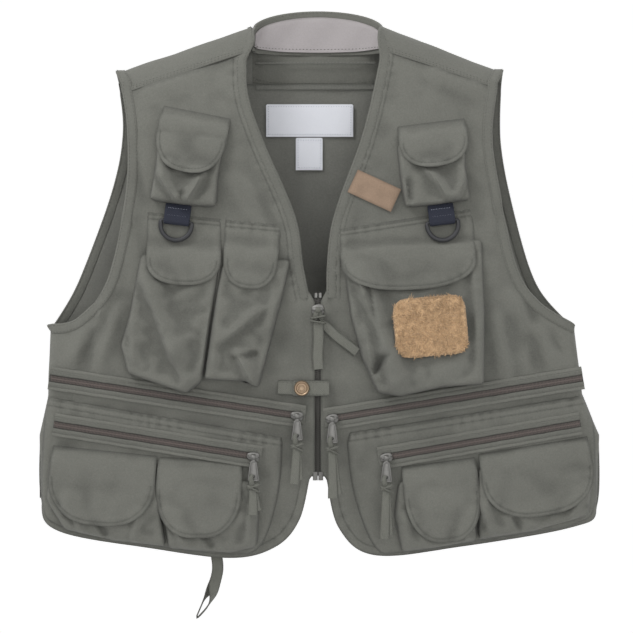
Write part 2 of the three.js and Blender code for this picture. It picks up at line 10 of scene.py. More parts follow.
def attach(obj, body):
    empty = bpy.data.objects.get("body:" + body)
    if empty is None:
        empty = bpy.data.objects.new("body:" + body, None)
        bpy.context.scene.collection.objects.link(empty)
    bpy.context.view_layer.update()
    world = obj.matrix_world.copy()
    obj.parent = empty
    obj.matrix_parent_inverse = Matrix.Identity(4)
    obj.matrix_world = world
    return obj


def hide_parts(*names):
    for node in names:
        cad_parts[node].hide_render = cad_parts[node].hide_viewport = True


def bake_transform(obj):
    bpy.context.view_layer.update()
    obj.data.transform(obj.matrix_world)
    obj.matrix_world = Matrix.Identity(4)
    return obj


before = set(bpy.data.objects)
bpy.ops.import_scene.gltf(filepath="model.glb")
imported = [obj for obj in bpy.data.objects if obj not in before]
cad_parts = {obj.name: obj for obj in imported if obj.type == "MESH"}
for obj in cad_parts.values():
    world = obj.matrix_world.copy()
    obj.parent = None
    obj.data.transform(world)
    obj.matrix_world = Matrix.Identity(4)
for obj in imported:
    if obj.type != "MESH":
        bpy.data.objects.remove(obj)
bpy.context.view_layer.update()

# ---- Dimensions, in millimetres; heights count from the underarm level, as in the part's source ----
HOOK = np.array((0.0, 32.8, 324.4))  # the row frame's origin: the point that rests on a hook
BODY_CLOTH = 3.0
FRONT_LINE = ((-250, 14), (-150, 20), (-60, 36))  # height, depth ahead of the side seams
BACK_LINE = ((-250, 15), (0, 24))
UNDERARM = (284, 272)  # half widths of the wearer's right and left
HIP = (299, 301)
TIP = ((215, 262), (197, 263))
NECK = (62, 315)
ROUNDING = 120
COLLAR = {"rx": 67, "ry": 26, "top": 321, "bottom": 287}
YOKE_Z = 254


# ---- Shared arithmetic ----
def smoothstep(x, low, high):
    t = np.clip((x - low) / (high - low), 0, 1)
    return t * t * (3 - 2 * t)


def rounded_edge(edge, radius):
    """A quarter round: 0 at the edge, 1 from a radius inside it."""
    return np.sqrt(1 - (1 - np.clip(edge / radius, 0, 1)) ** 2)


def unit(v):
    v = np.asarray(v, float)
    return v / np.maximum(np.linalg.norm(v, axis=-1, keepdims=True), 1e-9)


def arrays(x, z):
    return np.atleast_1d(np.asarray(x, float)), np.atleast_1d(np.asarray(z, float))


def cloud(x, z, size, seed, octaves=2):
    """Soft noise of about one unit, its lumps about as wide as size."""
    x, z = arrays(x, z)
    total = np.zeros(len(x))
    for octave in range(octaves):
        scale = 2**octave / size
        total += [
            noise.noise((a * scale, b * scale, seed + 7.3 * octave)) / 1.7**octave for a, b in zip(x, z)
        ]
    return total


def resample(points, spacing, closed=False):
    pts = np.asarray(points, float)
    if closed:
        pts = np.vstack([pts, pts[:1]])
    run = np.concatenate([[0], np.cumsum(np.linalg.norm(np.diff(pts, axis=0), axis=1))])
    count = max(3, int(round(run[-1] / spacing)))
    at = np.linspace(0, run[-1], count + 1)
    out = np.column_stack([np.interp(at, run, pts[:, k]) for k in range(pts.shape[1])])
    return out[:-1] if closed else out


def curve(points, spacing=4.0, closed=False):
    """A smooth run through the points, evenly spaced."""
    p = np.asarray(points, float)
    n = len(p)
    fine = []
    for i in range(n if closed else n - 1):
        if closed:
            a, b, c, d = p[i - 1], p[i], p[(i + 1) % n], p[(i + 2) % n]
        else:
            a, b, c, d = p[max(i - 1, 0)], p[i], p[i + 1], p[min(i + 2, n - 1)]
        t = np.linspace(0, 1, 12, endpoint=False)[:, None]
        fine.append(
            0.5 * (2 * b + (c - a) * t + (2 * a - 5 * b + 4 * c - d) * t**2 + (3 * b - a - 3 * c + d) * t**3)
        )
    fine = np.vstack(fine + ([] if closed else [p[-1:]]))
    return resample(fine, spacing, closed)


def soft_polygon(points, corner=7.0, spacing=3.0):
    """A closed polygon with its corners rounded a little, evenly spaced."""
    p = np.asarray(points, float)
    run = []
    for i in range(len(p)):
        before, at, after = p[i - 1], p[i], p[(i + 1) % len(p)]
        a = at + (before - at) * min(0.45, corner / max(np.linalg.norm(before - at), 1e-6))
        b = at + (after - at) * min(0.45, corner / max(np.linalg.norm(after - at), 1e-6))
        t = np.linspace(0, 1, 6)[:, None]
        run.append(a * (1 - t) ** 2 + 2 * at * t * (1 - t) + b * t**2)
    return resample(np.vstack(run), spacing, closed=True)


def distance(points, line, closed=False):
    """How far each point is from a line, and how far along the line its nearest point is."""
    a = line if closed else line[:-1]
    b = np.roll(line, -1, axis=0) if closed else line[1:]
    ab = b - a
    size = np.linalg.norm(ab, axis=1)
    before = np.concatenate([[0], np.cumsum(size)[:-1]])
    best = np.full(len(points), 1e9)
    along = np.zeros(len(points))
    for i in range(len(a)):
        t = np.clip((points - a[i]) @ ab[i] / max(size[i] ** 2, 1e-9), 0, 1)
        d = np.linalg.norm(points - a[i] - t[:, None] * ab[i], axis=1)
        nearer = d < best
        best = np.where(nearer, d, best)
        along = np.where(nearer, before[i] + t * size[i], along)
    return best, along


def inside(points, ring):
    x, z = points[:, :1], points[:, 1:]
    a, b = ring, np.roll(ring, -1, axis=0)
    spans = (a[:, 1] > z) != (b[:, 1] > z)
    cut = (b[:, 0] - a[:, 0]) * (z - a[:, 1]) / (b[:, 1] - a[:, 1] + 1e-12) + a[:, 0]
    return (spans & (x < cut)).sum(axis=1) % 2 == 1


def offset(line, by, closed=False):
    """The line moved to its left by a distance."""
    ahead = np.roll(line, -1, axis=0)
    behind = np.roll(line, 1, axis=0)
    if not closed:
        ahead[-1], behind[0] = line[-1], line[0]
    along = unit(ahead - behind)
    return line + by * np.column_stack([-along[:, 1], along[:, 0]])


def fill(outline, spacing, rows=(), lines=()):
    """Points and triangles over an outline, with rows of points beside its edge and beside lines."""
    ring = resample(outline, spacing * 0.8, closed=True)
    area = np.sum(ring[:, 0] * np.roll(ring[:, 1], -1) - ring[:, 1] * np.roll(ring[:, 0], -1))
    if area < 0:
        ring = ring[::-1]
    sets = [ring]
    for row in rows:
        inner = offset(ring, row, closed=True)
        keep = inside(inner, ring) & (distance(inner, ring, True)[0] > 0.9 * row)
        sets.append(inner[keep])
    for line in lines:
        for by in (-1.6, 0, 1.6):
            run = offset(resample(line, spacing * 0.7), by)
            keep = inside(run, ring) & (distance(run, ring, True)[0] > 0.5 + 0.3 * abs(by))
            sets.append(run[keep])
    low, high = ring.min(axis=0), ring.max(axis=0)
    grid = []
    for i, z in enumerate(np.arange(low[1], high[1], spacing * 0.87)):
        x = np.arange(low[0] + (i % 2) * spacing / 2, high[0], spacing)
        grid.append(np.column_stack([x, np.full(len(x), z)]))
    grid = np.vstack(grid)
    grid = grid[inside(grid, ring)]
    grid = grid[distance(grid, ring, True)[0] > max([0.55 * spacing] + [r + 0.5 * spacing for r in rows])]
    for line in lines:
        grid = grid[distance(grid, np.asarray(line, float))[0] > 1.6 + 0.45 * spacing]
    points = np.vstack(sets + [grid])
    verts, _, faces, *_ = delaunay_2d_cdt(
        [Vector(p) for p in points], [], [list(range(len(ring)))], 1, 1e-5
    )
    return np.array([tuple(v) for v in verts]), [tuple(f) for f in faces], ring


# ---- Meshes and pieces ----
def normals_of(verts, faces):
    tri = np.array([f[:3] for f in faces])
    n = np.cross(verts[tri[:, 1]] - verts[tri[:, 0]], verts[tri[:, 2]] - verts[tri[:, 0]])
    total = np.zeros_like(verts)
    for k in range(3):
        np.add.at(total, tri[:, k], n)
    return unit(total)


def thicken(verts, faces, thick):
    """The surface with a second layer behind it and a rim between them; also which faces are behind."""
    n = normals_of(verts, faces)
    count = len(verts)
    edges = dict.fromkeys((a, b) for f in faces for a, b in zip(f, f[1:] + f[:1]))
    rim = [(b, a, a + count, b + count) for a, b in edges if (b, a) not in edges]
    behind = [tuple(i + count for i in reversed(f)) for f in faces]
    return np.vstack([verts, verts - n * thick]), list(faces) + rim + behind, len(faces) + len(rim)


def averaged(values, faces, rounds):
    """Values at the vertices, each mixed a few times over with its neighbours'."""
    pairs = np.array([(a, b) for f in faces for a, b in zip(f, f[1:] + f[:1])])
    ends = np.concatenate([pairs[:, 0], pairs[:, 1]])
    others = np.concatenate([pairs[:, 1], pairs[:, 0]])
    count = np.maximum(1, np.bincount(ends, minlength=len(values)))
    for _ in range(rounds):
        around = [np.bincount(ends, column[others], len(values)) / count for column in values.T]
        values = 0.5 * values + 0.5 * np.column_stack(around)
    return values


def hollows(verts, faces):
    """How far each vertex lies towards +Y of its neighbourhood's middle, in millimetres."""
    near = averaged(verts[:, 1:2], faces, 2)
    return (averaged(near, faces, 14) - near)[:, 0]


SINK = 1.2  # how far a settled bag may move towards the cloth behind it


def settle(verts, faces, sewn, spare, cap, steps=16):
    """Cloth cut a little too large for its seams, let go until it buckles into its own folds."""
    mesh = bpy.data.meshes.new("settling")
    mesh.from_pydata([tuple(v / 1000) for v in verts], [], faces)
    obj = bpy.data.objects.new("settling", mesh)
    bpy.context.scene.collection.objects.link(obj)
    held = obj.vertex_groups.new(name="sewn")
    held.add([int(i) for i in np.nonzero(sewn)[0]], 1.0, "REPLACE")
    simulation = obj.modifiers.new("cloth", "CLOTH")
    settings = simulation.settings
    settings.quality = 6
    settings.mass = 0.12
    settings.tension_stiffness = settings.compression_stiffness = 18
    settings.shear_stiffness = 8
    settings.bending_stiffness = 0.35
    settings.vertex_group_mass = "sewn"
    settings.shrink_min = -spare
    settings.effector_weights.gravity = 0.25
    simulation.collision_settings.use_collision = False
    simulation.point_cache.frame_end = steps
    for step in range(1, steps + 1):
        bpy.context.scene.frame_set(step)
    settled = obj.evaluated_get(bpy.context.evaluated_depsgraph_get())
    moved = averaged(np.array([v.co for v in settled.data.vertices]) * 1000 - verts, faces, 3)
    moved[sewn] = 0
    bpy.context.scene.frame_set(1)
    bpy.data.objects.remove(obj)
    size = np.linalg.norm(moved, axis=1, keepdims=True)
    moved *= np.minimum(1, cap / np.maximum(size, 1e-6))
    moved[:, 1] = np.minimum(moved[:, 1], SINK)
    return verts + moved


class Piece:
    """Vertices in millimetres, faces with material numbers, and a value per vertex that darkens or lightens
    the colour: painted shade and light, and on the fleece a random tone.
    """

    def __init__(self):
        self.verts, self.faces, self.mats, self.shade, self.count = [], [], [], [], 0

    def add(self, verts, faces, mat=0, shade=0.0):
        verts = np.asarray(verts, float)
        self.faces += [tuple(int(i) + self.count for i in f) for f in faces]
        self.mats += [mat] * len(faces) if isinstance(mat, int) else list(mat)
        self.verts.append(verts)
        self.shade.append(np.broadcast_to(np.asarray(shade, float), (len(verts),)))
        self.count += len(verts)
        return self

    def build(self, name, materials, body="root", stands_for=(), slot=None, crease=55):
        verts = (np.vstack(self.verts) - HOOK) / 1000
        mesh = bpy.data.meshes.new(name)
        mesh.from_pydata([tuple(v) for v in verts], [], self.faces)
        mesh.polygons.foreach_set("material_index", np.array(self.mats, np.int32))
        mesh.polygons.foreach_set("use_smooth", np.full(len(self.faces), True))
        shade = mesh.attributes.new("shade", "FLOAT", "POINT")
        shade.data.foreach_set("value", np.concatenate(self.shade).astype(np.float32))
        mesh.update()
        mesh.set_sharp_from_angle(angle=math.radians(crease))
        for m in materials:
            mesh.materials.append(m)
        obj = bpy.data.objects.new(name, mesh)
        bpy.context.scene.collection.objects.link(obj)
        if body:
            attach(obj, body)
        if stands_for:
            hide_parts(*stands_for)
        return obj


def stitches(piece, path, out, mat=1, length=2.6, gap=1.2, radius=0.42):
    """Thread dashes along a path; out is the outward direction at each of its points."""
    path, out = np.asarray(path, float), unit(np.broadcast_to(out, np.shape(path)))
    run = np.concatenate([[0], np.cumsum(np.linalg.norm(np.diff(path, axis=0), axis=1))])
    starts = np.arange(0.6, run[-1] - length, length + gap)
    at = lambda s, a: np.column_stack([np.interp(s, run, a[:, k]) for k in range(3)])
    if not len(starts):
        return
    a, b, mid = at(starts, path), at(starts + length, path), at(starts + length / 2, path)
    up = at(starts, out)
    along = unit(b - a)
    side = unit(np.cross(along, up))
    ring = [mid + side * radius, mid + up * radius * 1.3, mid - side * radius, mid - up * radius]
    verts = np.stack([a - up * radius, *ring, b - up * radius], axis=1).reshape(-1, 3)
    faces = []
    for i in range(len(starts)):
        o = 6 * i
        for k in range(4):
            p, q = o + 1 + k, o + 1 + (k + 1) % 4
            faces += [(o, q, p), (o + 5, p, q)]
    piece.add(verts, faces, mat)


def sweep(path, profile, up, closed=False, caps=True):
    """A profile of (side, up) points carried along a path; up is the upward direction at each point."""
    path = np.asarray(path, float)
    ahead, behind = np.roll(path, -1, axis=0), np.roll(path, 1, axis=0)
    if not closed:
        ahead[-1], behind[0] = path[-1], path[0]
    along = unit(ahead - behind)
    up = np.broadcast_to(np.asarray(up, float), path.shape)
    side = unit(np.cross(along, up))
    up = unit(np.cross(side, along))
    profile = np.asarray(profile, float)
    if profile.ndim == 2:
        profile = np.broadcast_to(profile, (len(path),) + profile.shape)
    verts = path[:, None] + side[:, None] * profile[..., :1] + up[:, None] * profile[..., 1:]
    n, m = len(path), profile.shape[1]
    faces = []
    for i in range(n if closed else n - 1):
        for k in range(m):
            a, b = i * m + k, i * m + (k + 1) % m
            c, d = (i + 1) % n * m + (k + 1) % m, (i + 1) % n * m + k
            faces.append((a, b, c, d))
    if not closed and caps:
        faces += [tuple(reversed(range(m))), tuple(range((n - 1) * m, n * m))]
    return verts.reshape(-1, 3), faces


def oval(width, height, steps=10, power=1.0):
    """A closed profile from an ellipse towards a rectangle as the power falls."""
    a = np.arange(steps) * 2 * math.pi / steps
    c, s = np.cos(a), np.sin(a)
    return np.column_stack(
        [width / 2 * np.sign(c) * np.abs(c) ** power, height / 2 * np.sign(s) * np.abs(s) ** power]
    )


# ---- Materials ----
def node(tree, kind, **inputs):
    n = tree.nodes.new(kind)
    for name, value in inputs.items():
        socket = n.inputs[name.replace("_", " ")]
        if isinstance(value, bpy.types.NodeSocket):
            tree.links.new(value, socket)
        else:
            socket.default_value = value
    return n


def times_plus(tree, value, factor, plus):
    """One node that gives value * factor + plus."""
    n = node(tree, "ShaderNodeMath")
    n.operation = "MULTIPLY_ADD"
    tree.links.new(value, n.inputs[0])
    n.inputs[1].default_value = factor
    tree.links.new(plus, n.inputs[2])
    return n.outputs[0]


def material(name, colour, rough=0.85, metal=0.0, vary=0.12, weave=0.0, weave_size=0.9, grain=0.0,
             grain_size=4.0, sheen=0.0, tone_and_shade_range=0.3, slope=0.0):
    """A procedural material: random colour variation, painted shade and light from the shade attribute, a
    woven bump and a fine grain.
    """
    m = bpy.data.materials.new(name)
    m.use_nodes = True
    tree = m.node_tree
    shader = tree.nodes["Principled BSDF"]
    for socket, value in (("Metallic", metal), ("Sheen Weight", sheen), ("Sheen Roughness", 0.5)):
        shader.inputs[socket].default_value = value
    place = node(tree, "ShaderNodeTexCoord").outputs["Object"]
    broad = node(tree, "ShaderNodeTexNoise", Vector=place, Scale=14.0, Detail=4.0, Roughness=0.6)
    fine = node(tree, "ShaderNodeTexNoise", Vector=place, Scale=620.0, Detail=3.0, Roughness=0.8)
    shade = tree.nodes.new("ShaderNodeAttribute")
    shade.attribute_name = "shade"
    total = times_plus(tree, broad.outputs["Fac"], 2.0 * vary, shade.outputs["Fac"])
    total = times_plus(tree, fine.outputs["Fac"], 4.0 * vary, total)
    middle = 0.5 * (2.0 + 4.0) * vary
    ramp = node(tree, "ShaderNodeMapRange", Value=total, From_Min=middle - 1, From_Max=middle + 1)
    # The shade attribute's painted shade and light, with the noise's random tone, swing the colour between a
    # darker and a lighter end.
    mix = tree.nodes.new("ShaderNodeMix")
    mix.data_type = "RGBA"
    tree.links.new(ramp.outputs[0], mix.inputs["Factor"])
    mix.inputs[6].default_value = (*(c * (1 - 2.2 * tone_and_shade_range) for c in colour), 1)
    mix.inputs[7].default_value = (*(min(1, c * (1 + 2.2 * tone_and_shade_range)) for c in colour), 1)
    tree.links.new(mix.outputs[2], shader.inputs["Base Color"])
    roughness = node(tree, "ShaderNodeMapRange", Value=fine.outputs["Fac"],
                     To_Min=max(0, rough - 0.08), To_Max=min(1, rough + 0.08))
    tree.links.new(roughness.outputs[0], shader.inputs["Roughness"])
    height = None
    if weave:
        waves = []
        for turn in (slope, slope + math.pi / 2):
            yarn = node(tree, "ShaderNodeMapping", Vector=place, Rotation=(0, turn, 0)).outputs[0]
            wave = node(tree, "ShaderNodeTexWave", Vector=yarn, Scale=1000 / weave_size / 3.14,
                        Distortion=1.2, Detail_Scale=2.0)
            waves.append(wave.outputs["Fac"])
        woven = node(tree, "ShaderNodeMath")
        tree.links.new(waves[0], woven.inputs[0])
        tree.links.new(waves[1], woven.inputs[1])
        height = node(tree, "ShaderNodeBump", Height=woven.outputs[0], Strength=weave, Distance=0.0003)
    if grain:
        lumps = node(tree, "ShaderNodeTexNoise", Vector=place, Scale=1000 / grain_size, Detail=5.0)
        bump = node(tree, "ShaderNodeBump", Height=lumps.outputs["Fac"], Strength=grain, Distance=0.0008)
        if height:
            tree.links.new(height.outputs[0], bump.inputs["Normal"])
        height = bump
    if height:
        tree.links.new(height.outputs[0], shader.inputs["Normal"])
    return m


SAGE = (0.117, 0.118, 0.103)
CLOTH = material("sage_canvas", SAGE, 0.88, weave=0.7, grain=0.55, grain_size=5, sheen=0.05, vary=0.26)
# The cloth's inner face: the same canvas in a lighter colour, painted light that lifts the shade inside the
# vest and under the flaps.
INSIDE_PAINTED_LIGHT = material("sage_canvas_inside_painted_light", (0.138, 0.139, 0.124), 0.92, weave=0.6, grain=0.45, grain_size=5,
                  vary=0.24)
THREAD = material("sage_thread", (0.085, 0.086, 0.075), 0.7, vary=0.1)
TAPE = material("zip_tape", (0.052, 0.05, 0.045), 0.85, weave=0.6, weave_size=0.7, vary=0.1)
COIL = material("zip_coil", (0.086, 0.066, 0.059), 0.55, vary=0.25)
METAL = material("aged_nickel", (0.17, 0.168, 0.16), 0.46, metal=0.9, vary=0.2, grain=0.15, grain_size=1.5)
WEBBING = material("sage_webbing", (0.118, 0.12, 0.103), 0.85, weave=1.0, weave_size=1.4, slope=0.785,
                   vary=0.22)
NAVY = material("navy_webbing", (0.0095, 0.0125, 0.026), 0.8, weave=1.0, weave_size=1.3, slope=0.785,
                vary=0.2)
NAVY_THREAD = material("pale_bar_tack", (0.32, 0.34, 0.4), 0.7, vary=0.1)
BLACK = material("black_plastic", (0.012, 0.0125, 0.015), 0.5, vary=0.15, grain=0.25, grain_size=1.0)
FLEECE = material("golden_fleece", (0.4, 0.262, 0.142), 0.95, sheen=0.4, vary=0.35, grain=0.8,
                  grain_size=2.0)
SUEDE = material("tan_suede", (0.215, 0.15, 0.104), 0.95, sheen=0.2, vary=0.2, grain=0.5, grain_size=1.2)
LABEL = material("woven_label", (0.73, 0.745, 0.8), 0.6, weave=0.6, weave_size=0.5, vary=0.07, tone_and_shade_range=0.12)
LABEL_THREAD = material("label_border", (0.42, 0.44, 0.5), 0.6, vary=0.08, tone_and_shade_range=0.12)
LINING = material("collar_lining", (0.32, 0.298, 0.3), 0.85, weave=0.5, weave_size=0.6, vary=0.16, tone_and_shade_range=0.2)
BRASS = material("antique_brass", (0.3, 0.22, 0.15), 0.42, metal=0.85, vary=0.25, grain=0.2, grain_size=2.0)
FLOOR = material("floor", (0.8, 0.8, 0.8), 0.9, vary=0.02, tone_and_shade_range=0.02)


# ---- The body's form ----
def by_side(x, pair):
    return np.where(x < 0, pair[0], pair[1])


def shoulder_z(x):
    tip_x, tip_z = by_side(x, (TIP[0][0], TIP[1][0])), by_side(x, (TIP[0][1], TIP[1][1]))
    slope = (NECK[1] - tip_z) / (tip_x - NECK[0])
    return NECK[1] - slope * np.maximum(0, np.abs(x) - NECK[0])


def roundness(x, z):
    low = smoothstep(-z, -20, 120)
    width = by_side(x, UNDERARM) * (1 - low) + by_side(x, HIP) * low
    u = np.clip(np.abs(x) / width, 0, 1)
    t = np.clip(1 + (z - shoulder_z(x)) / ROUNDING, 0, 1)
    return (1 - u**8) ** (1 / 8) * np.sqrt(1 - t * t)


def line_depth(z, line):
    return np.interp(z, [p[0] for p in line], [p[1] for p in line])


def cad_front(x, z):
    return -np.maximum(4, line_depth(z, FRONT_LINE) * roundness(x, z)) - BODY_CLOTH


def cad_cargo(x, z):
    return cad_front(x, z) - 3.8


def cad_depth(x, z):
    """Depth of the fronts' outer face at one point."""
    return cad_front(*arrays(x, z))[0]


def folds(x, z, ridges):
    """Outward height of soft folds: each runs from one point to another, with a height and a half width."""
    total = np.zeros(len(x))
    for x0, z0, x1, z1, height, width in ridges:
        dx, dz = x1 - x0, z1 - z0
        size = math.hypot(dx, dz)
        t = ((x - x0) * dx + (z - z0) * dz) / size**2
        across = ((x - x0) * dz - (z - z0) * dx) / size
        ends = smoothstep(t, -0.1, 0.25) * smoothstep(-t, -1.1, -0.75)
        steep = np.where(across > 0, width, 0.38 * width)
        total += height * ends * np.exp(-((across / steep) ** 2))
    return total


BODY_FOLDS = (
    (-214, 34, -268, -60, 5, 11), (-232, 20, -244, -55, -4, 9), (-206, 20, -232, -58, 4, 9),
    (-215, 150, -190, 60, 2.5, 14),
    (-90, 160, -30, 60, 2.5, 16), (-60, 130, -22, 40, -2, 10), (200, 30, 262, -55, 5, 11),
    (222, 20, 236, -55, -4, 9), (188, 10, 204, -70, 3.5, 9), (195, 150, 176, 80, 2.5, 12),
    (36, 130, 20, 40, 2, 10),
    (-190, 240, -120, 262, 2.5, 16), (175, 240, 110, 262, 2.5, 16), (-195, 190, -180, 120, -2, 10),
)


class Zip:
    """The straight line of one zip, lying clear of the curved cloth behind it."""

    def __init__(self, name, start, end, backing, webbing):
        self.name, self.webbing = name, webbing
        self.start = np.array([start[0], backing(*arrays(*start))[0], start[1]])
        self.end = np.array([end[0], backing(*arrays(*end))[0], end[1]])
        along = unit(self.end - self.start)
        inward = unit(np.cross((0, 0, 1), along))
        self.inward = inward * math.copysign(1, inward[1])
        across = unit(np.cross(along, self.inward))
        self.across = across * math.copysign(1, across[2])
        self.along = unit(np.cross(self.inward, self.across))
        most = 0
        for i in range(21):
            for side in (-8, 0, 8):
                p = self.start + (self.end - self.start) * i / 20 + self.across * side
                most = max(most, p[1] - backing(*arrays(p[0], p[2]))[0])
        self.stand = most + 0.4
        self.seat = self.start - self.inward * (self.stand + 1.8)

    def pull_in(self, x, z, y, reach=15.0):
        """The cloth drawn out to the zip's straight line near it."""
        s = (x - self.start[0]) / (self.end[0] - self.start[0])
        z_line = self.start[2] + s * (self.end[2] - self.start[2])
        y_line = self.start[1] + s * (self.end[1] - self.start[1]) - self.stand
        near = np.exp(-(((z - z_line) / reach) ** 2))
        near *= smoothstep(s, -0.12, 0.0) * smoothstep(-s, -1.12, -1.0)
        return y * (1 - near) + y_line * near

    def at(self, s, across=0.0, out=0.0):
        """A point of the tape's face: s from 0 at the centre to 1 at the side."""
        s = np.atleast_1d(np.asarray(s, float))[:, None]
        line = self.start + (self.end - self.start) * s
        return line + self.across * across - self.inward * (self.stand + 1.4 + out)


UPPER_ZIPS = (
    Zip("right_upper", (-22, -100), (-270, -62), cad_front, 46),
    Zip("left_upper", (15, -103), (266, -62), cad_front, 58),
)
CARGO_ZIPS = (
    Zip("right_cargo", (-68, -143), (-266, -111), cad_cargo, 36),
    Zip("left_cargo", (72, -144), (264, -110), cad_cargo, 60),
)


SIDE_SEAM = {
    "z": (-250, -198, -122, -80, -4),
    "right": (294, 295, 297, 287, 284.5),
    "left": (296, 297, 300, 281, 272),
}


def closing(x, z):
    """1 over the body, falling to 0 at the side seams, where front and back meet below the armholes."""
    seam = by_side(x, [np.interp(z, SIDE_SEAM["z"], SIDE_SEAM[side]) for side in ("right", "left")])
    share = rounded_edge(seam - np.abs(x), 6.0)
    sewn = smoothstep(-z, 2, 12) * smoothstep(z, -225, -195)
    return 1 - sewn * (1 - share)


def front(x, z):
    """Outer face of the fronts."""
    x, z = arrays(x, z)
    round_off = roundness(x, z)
    y = -(line_depth(z, FRONT_LINE) + BODY_CLOTH) * round_off
    soft = 1.6 * cloud(x, z, 70, 3.1) + 0.8 * cloud(x, z, 24, 9.7) + folds(x, z, BODY_FOLDS)
    y = y - soft * smoothstep(round_off, 0.1, 0.7) * smoothstep(np.abs(x), 8, 30)
    for zip_ in UPPER_ZIPS:
        y = zip_.pull_in(x, z, y)
    return y * closing(x, z)


def back(x, z):
    """Outer face of the back."""
    x, z = arrays(x, z)
    round_off = roundness(x, z)
    y = (line_depth(z, BACK_LINE) + BODY_CLOTH) * round_off
    soft = 1.6 * cloud(x, z, 90, 21.4) + 0.8 * cloud(x, z, 30, 5.2) + folds(x, z, BACK_FOLDS)
    return (y + soft * smoothstep(round_off, 0.1, 0.7)) * closing(x, z)


BACK_FOLDS = (
    (-40, 200, -20, 20, 2.0, 14), (60, 180, 40, -60, 2.0, 18), (-150, 120, -120, -120, 2.5, 20),
    (160, 100, 120, -140, 2.5, 20), (-230, 10, -150, -60, 3, 14), (220, 10, 150, -70, 3, 14),
)

# ---- Outlines ----
BACK_ARMHOLE_R = curve([(-215, 262), (-210, 205), (-222, 140), (-258, 42), (-284, -4)])
BACK_ARMHOLE_L = curve([(271, -4), (236, 38), (213, 110), (197, 190), (197, 263)])
FRONT_ARMHOLE_R = curve([(-213, 262), (-206, 238), (-200, 195), (-202, 130), (-221, 42), (-254, 2),
                         (-284, -4)])
FRONT_ARMHOLE_L = curve([(271, -4), (232, 20), (207, 60), (188, 150), (183, 195), (188, 238), (195, 263)])
SIDE_R = np.array([(-284.5, -4), (-287, -80), (-297, -122)], float)
SIDE_L = np.array([(272, -4), (281, -80), (300, -122)], float)
PLACKET_R = np.array([(-3.4, 20), (-3.4, -160)], float)
PLACKET_L = np.array([(2.8, -160), (2.8, 20)], float)
HEM_R = curve([(-297, -122), (-296, -190), (-276, -223), (-180, -241), (-92, -252), (-45, -240),
               (-20, -212), (-9, -168)])
HEM_L = curve([(9, -168), (22, -220), (60, -249), (150, -240), (270, -219), (298, -198), (300, -122)])
EDGE_R = curve([(-9, 24), (-16, 60), (-24, 110), (-58, 190), (-74, 240), (-75, 288)])
EDGE_L = curve([(67, 290), (60, 250), (45, 190), (18, 115), (10, 70), (9, 24)])


def yoke_seam(x):
    """Height of the seam between the fronts and the yoke."""
    return 288 - 0.335 * np.maximum(0, np.abs(x) - 60)


def under(line):
    """The part of an outline's line that lies below the front yoke seam, with 5 mm to lap under it."""
    return np.array([p for p in line if p[1] < yoke_seam(p[0]) + 5])


# ---- Cloth pieces ----
def cloth(piece, outline, surface, seams=(), spacing=4.0, thick=1.5, roll=1.0, out=-1, raise_by=None,
          inner=0, pucker=0.35, rows=(1.2, 2.8), spare=0.0, hold=4.0, crease=None):
    """A sewn sheet over an outline: its edge rolls in, and each seam is a stitched groove with puckers."""
    points, faces, ring = fill(outline, spacing, rows=rows, lines=seams)
    x, z = points[:, 0], points[:, 1]
    edge = distance(points, ring, True)[0]
    height = -roll * np.exp(-((edge / 1.6) ** 2))
    # Painted shade: the colour darkens along the rolled edge.
    painted_shade = -0.35 * np.exp(-((edge / 1.5) ** 2))
    for seam in seams:
        d, along = distance(points, np.asarray(seam, float))
        height -= 0.55 * np.exp(-((d / 1.3) ** 2))
        wave = np.sin(along * 2 * math.pi / 13 + 3.5 * np.sin(along / 23.0))
        wave *= 0.5 + 0.5 * np.sin(along / 17.0)
        height += pucker * wave * np.exp(-((d / 7.0) ** 2))
        # Painted shade in each seam's groove, and a faint painted highlight on the ridge beside it.
        painted_shade += 0.06 * np.exp(-(((d - 2.6) / 1.4) ** 2)) - 0.3 * np.exp(-((d / 1.2) ** 2))
    if raise_by is not None:
        height += raise_by(x, z)
    y = surface(x, z) + out * height
    verts = np.column_stack([x, y, z])
    if out > 0:
        faces = [tuple(reversed(f)) for f in faces]
    if spare:
        verts = settle(verts, faces, edge < hold, spare, cap=6.0)
    if crease is not None:
        verts[:, 1] += out * crease(x, z) * smoothstep(edge, 1, 9)
    # Painted shade in hollows and a slight painted highlight on rises, standing in for occlusion; the layer
    # behind gets four tenths of it.
    painted_shade = painted_shade - np.clip(0.55 * out * hollows(verts, faces), -0.1, 0.3)
    full, all_faces, behind_from = thicken(verts, faces, thick)
    mats = [0] * behind_from + [inner] * (len(all_faces) - behind_from)
    piece.add(full, all_faces, mats, np.concatenate([painted_shade, painted_shade * 0.4]))
    for seam in seams:
        run = resample(np.asarray(seam, float), 3.0)
        run = run[inside(run, ring)]
        if len(run) > 2:
            ys = surface(run[:, 0], run[:, 1])
            if raise_by is not None:
                ys = ys + out * raise_by(run[:, 0], run[:, 1])
            path = np.column_stack([run[:, 0], ys - out * 0.25, run[:, 1]])
            stitches(piece, path, (0, out, 0))
    area = 0.5 * abs(np.sum(ring[:, 0] * np.roll(ring[:, 1], -1) - ring[:, 1] * np.roll(ring[:, 0], -1)))
    size = ring.max(axis=0) - ring.min(axis=0)
    return size / 1000, area / 1e6


def binding(name, runs, stands_for=(), width=11.0, thick=3.6, row=3.6):
    """Tape folded over raw edges. Each run is a line of points on the cloth and their outward normals."""
    piece = Piece()
    for path, normal in runs:
        piece.add(*sweep(path, oval(width, thick, 12, 0.6), normal))
        side = unit(np.cross(unit(np.gradient(path, axis=0)), normal))
        for face in (1, -1):
            for across in (row, -row):
                stitches(piece, path + side * across + normal * face * (thick / 2 + 0.02), normal * face)
    return piece.build(name, [CLOTH, THREAD], stands_for=stands_for, slot="cloth")


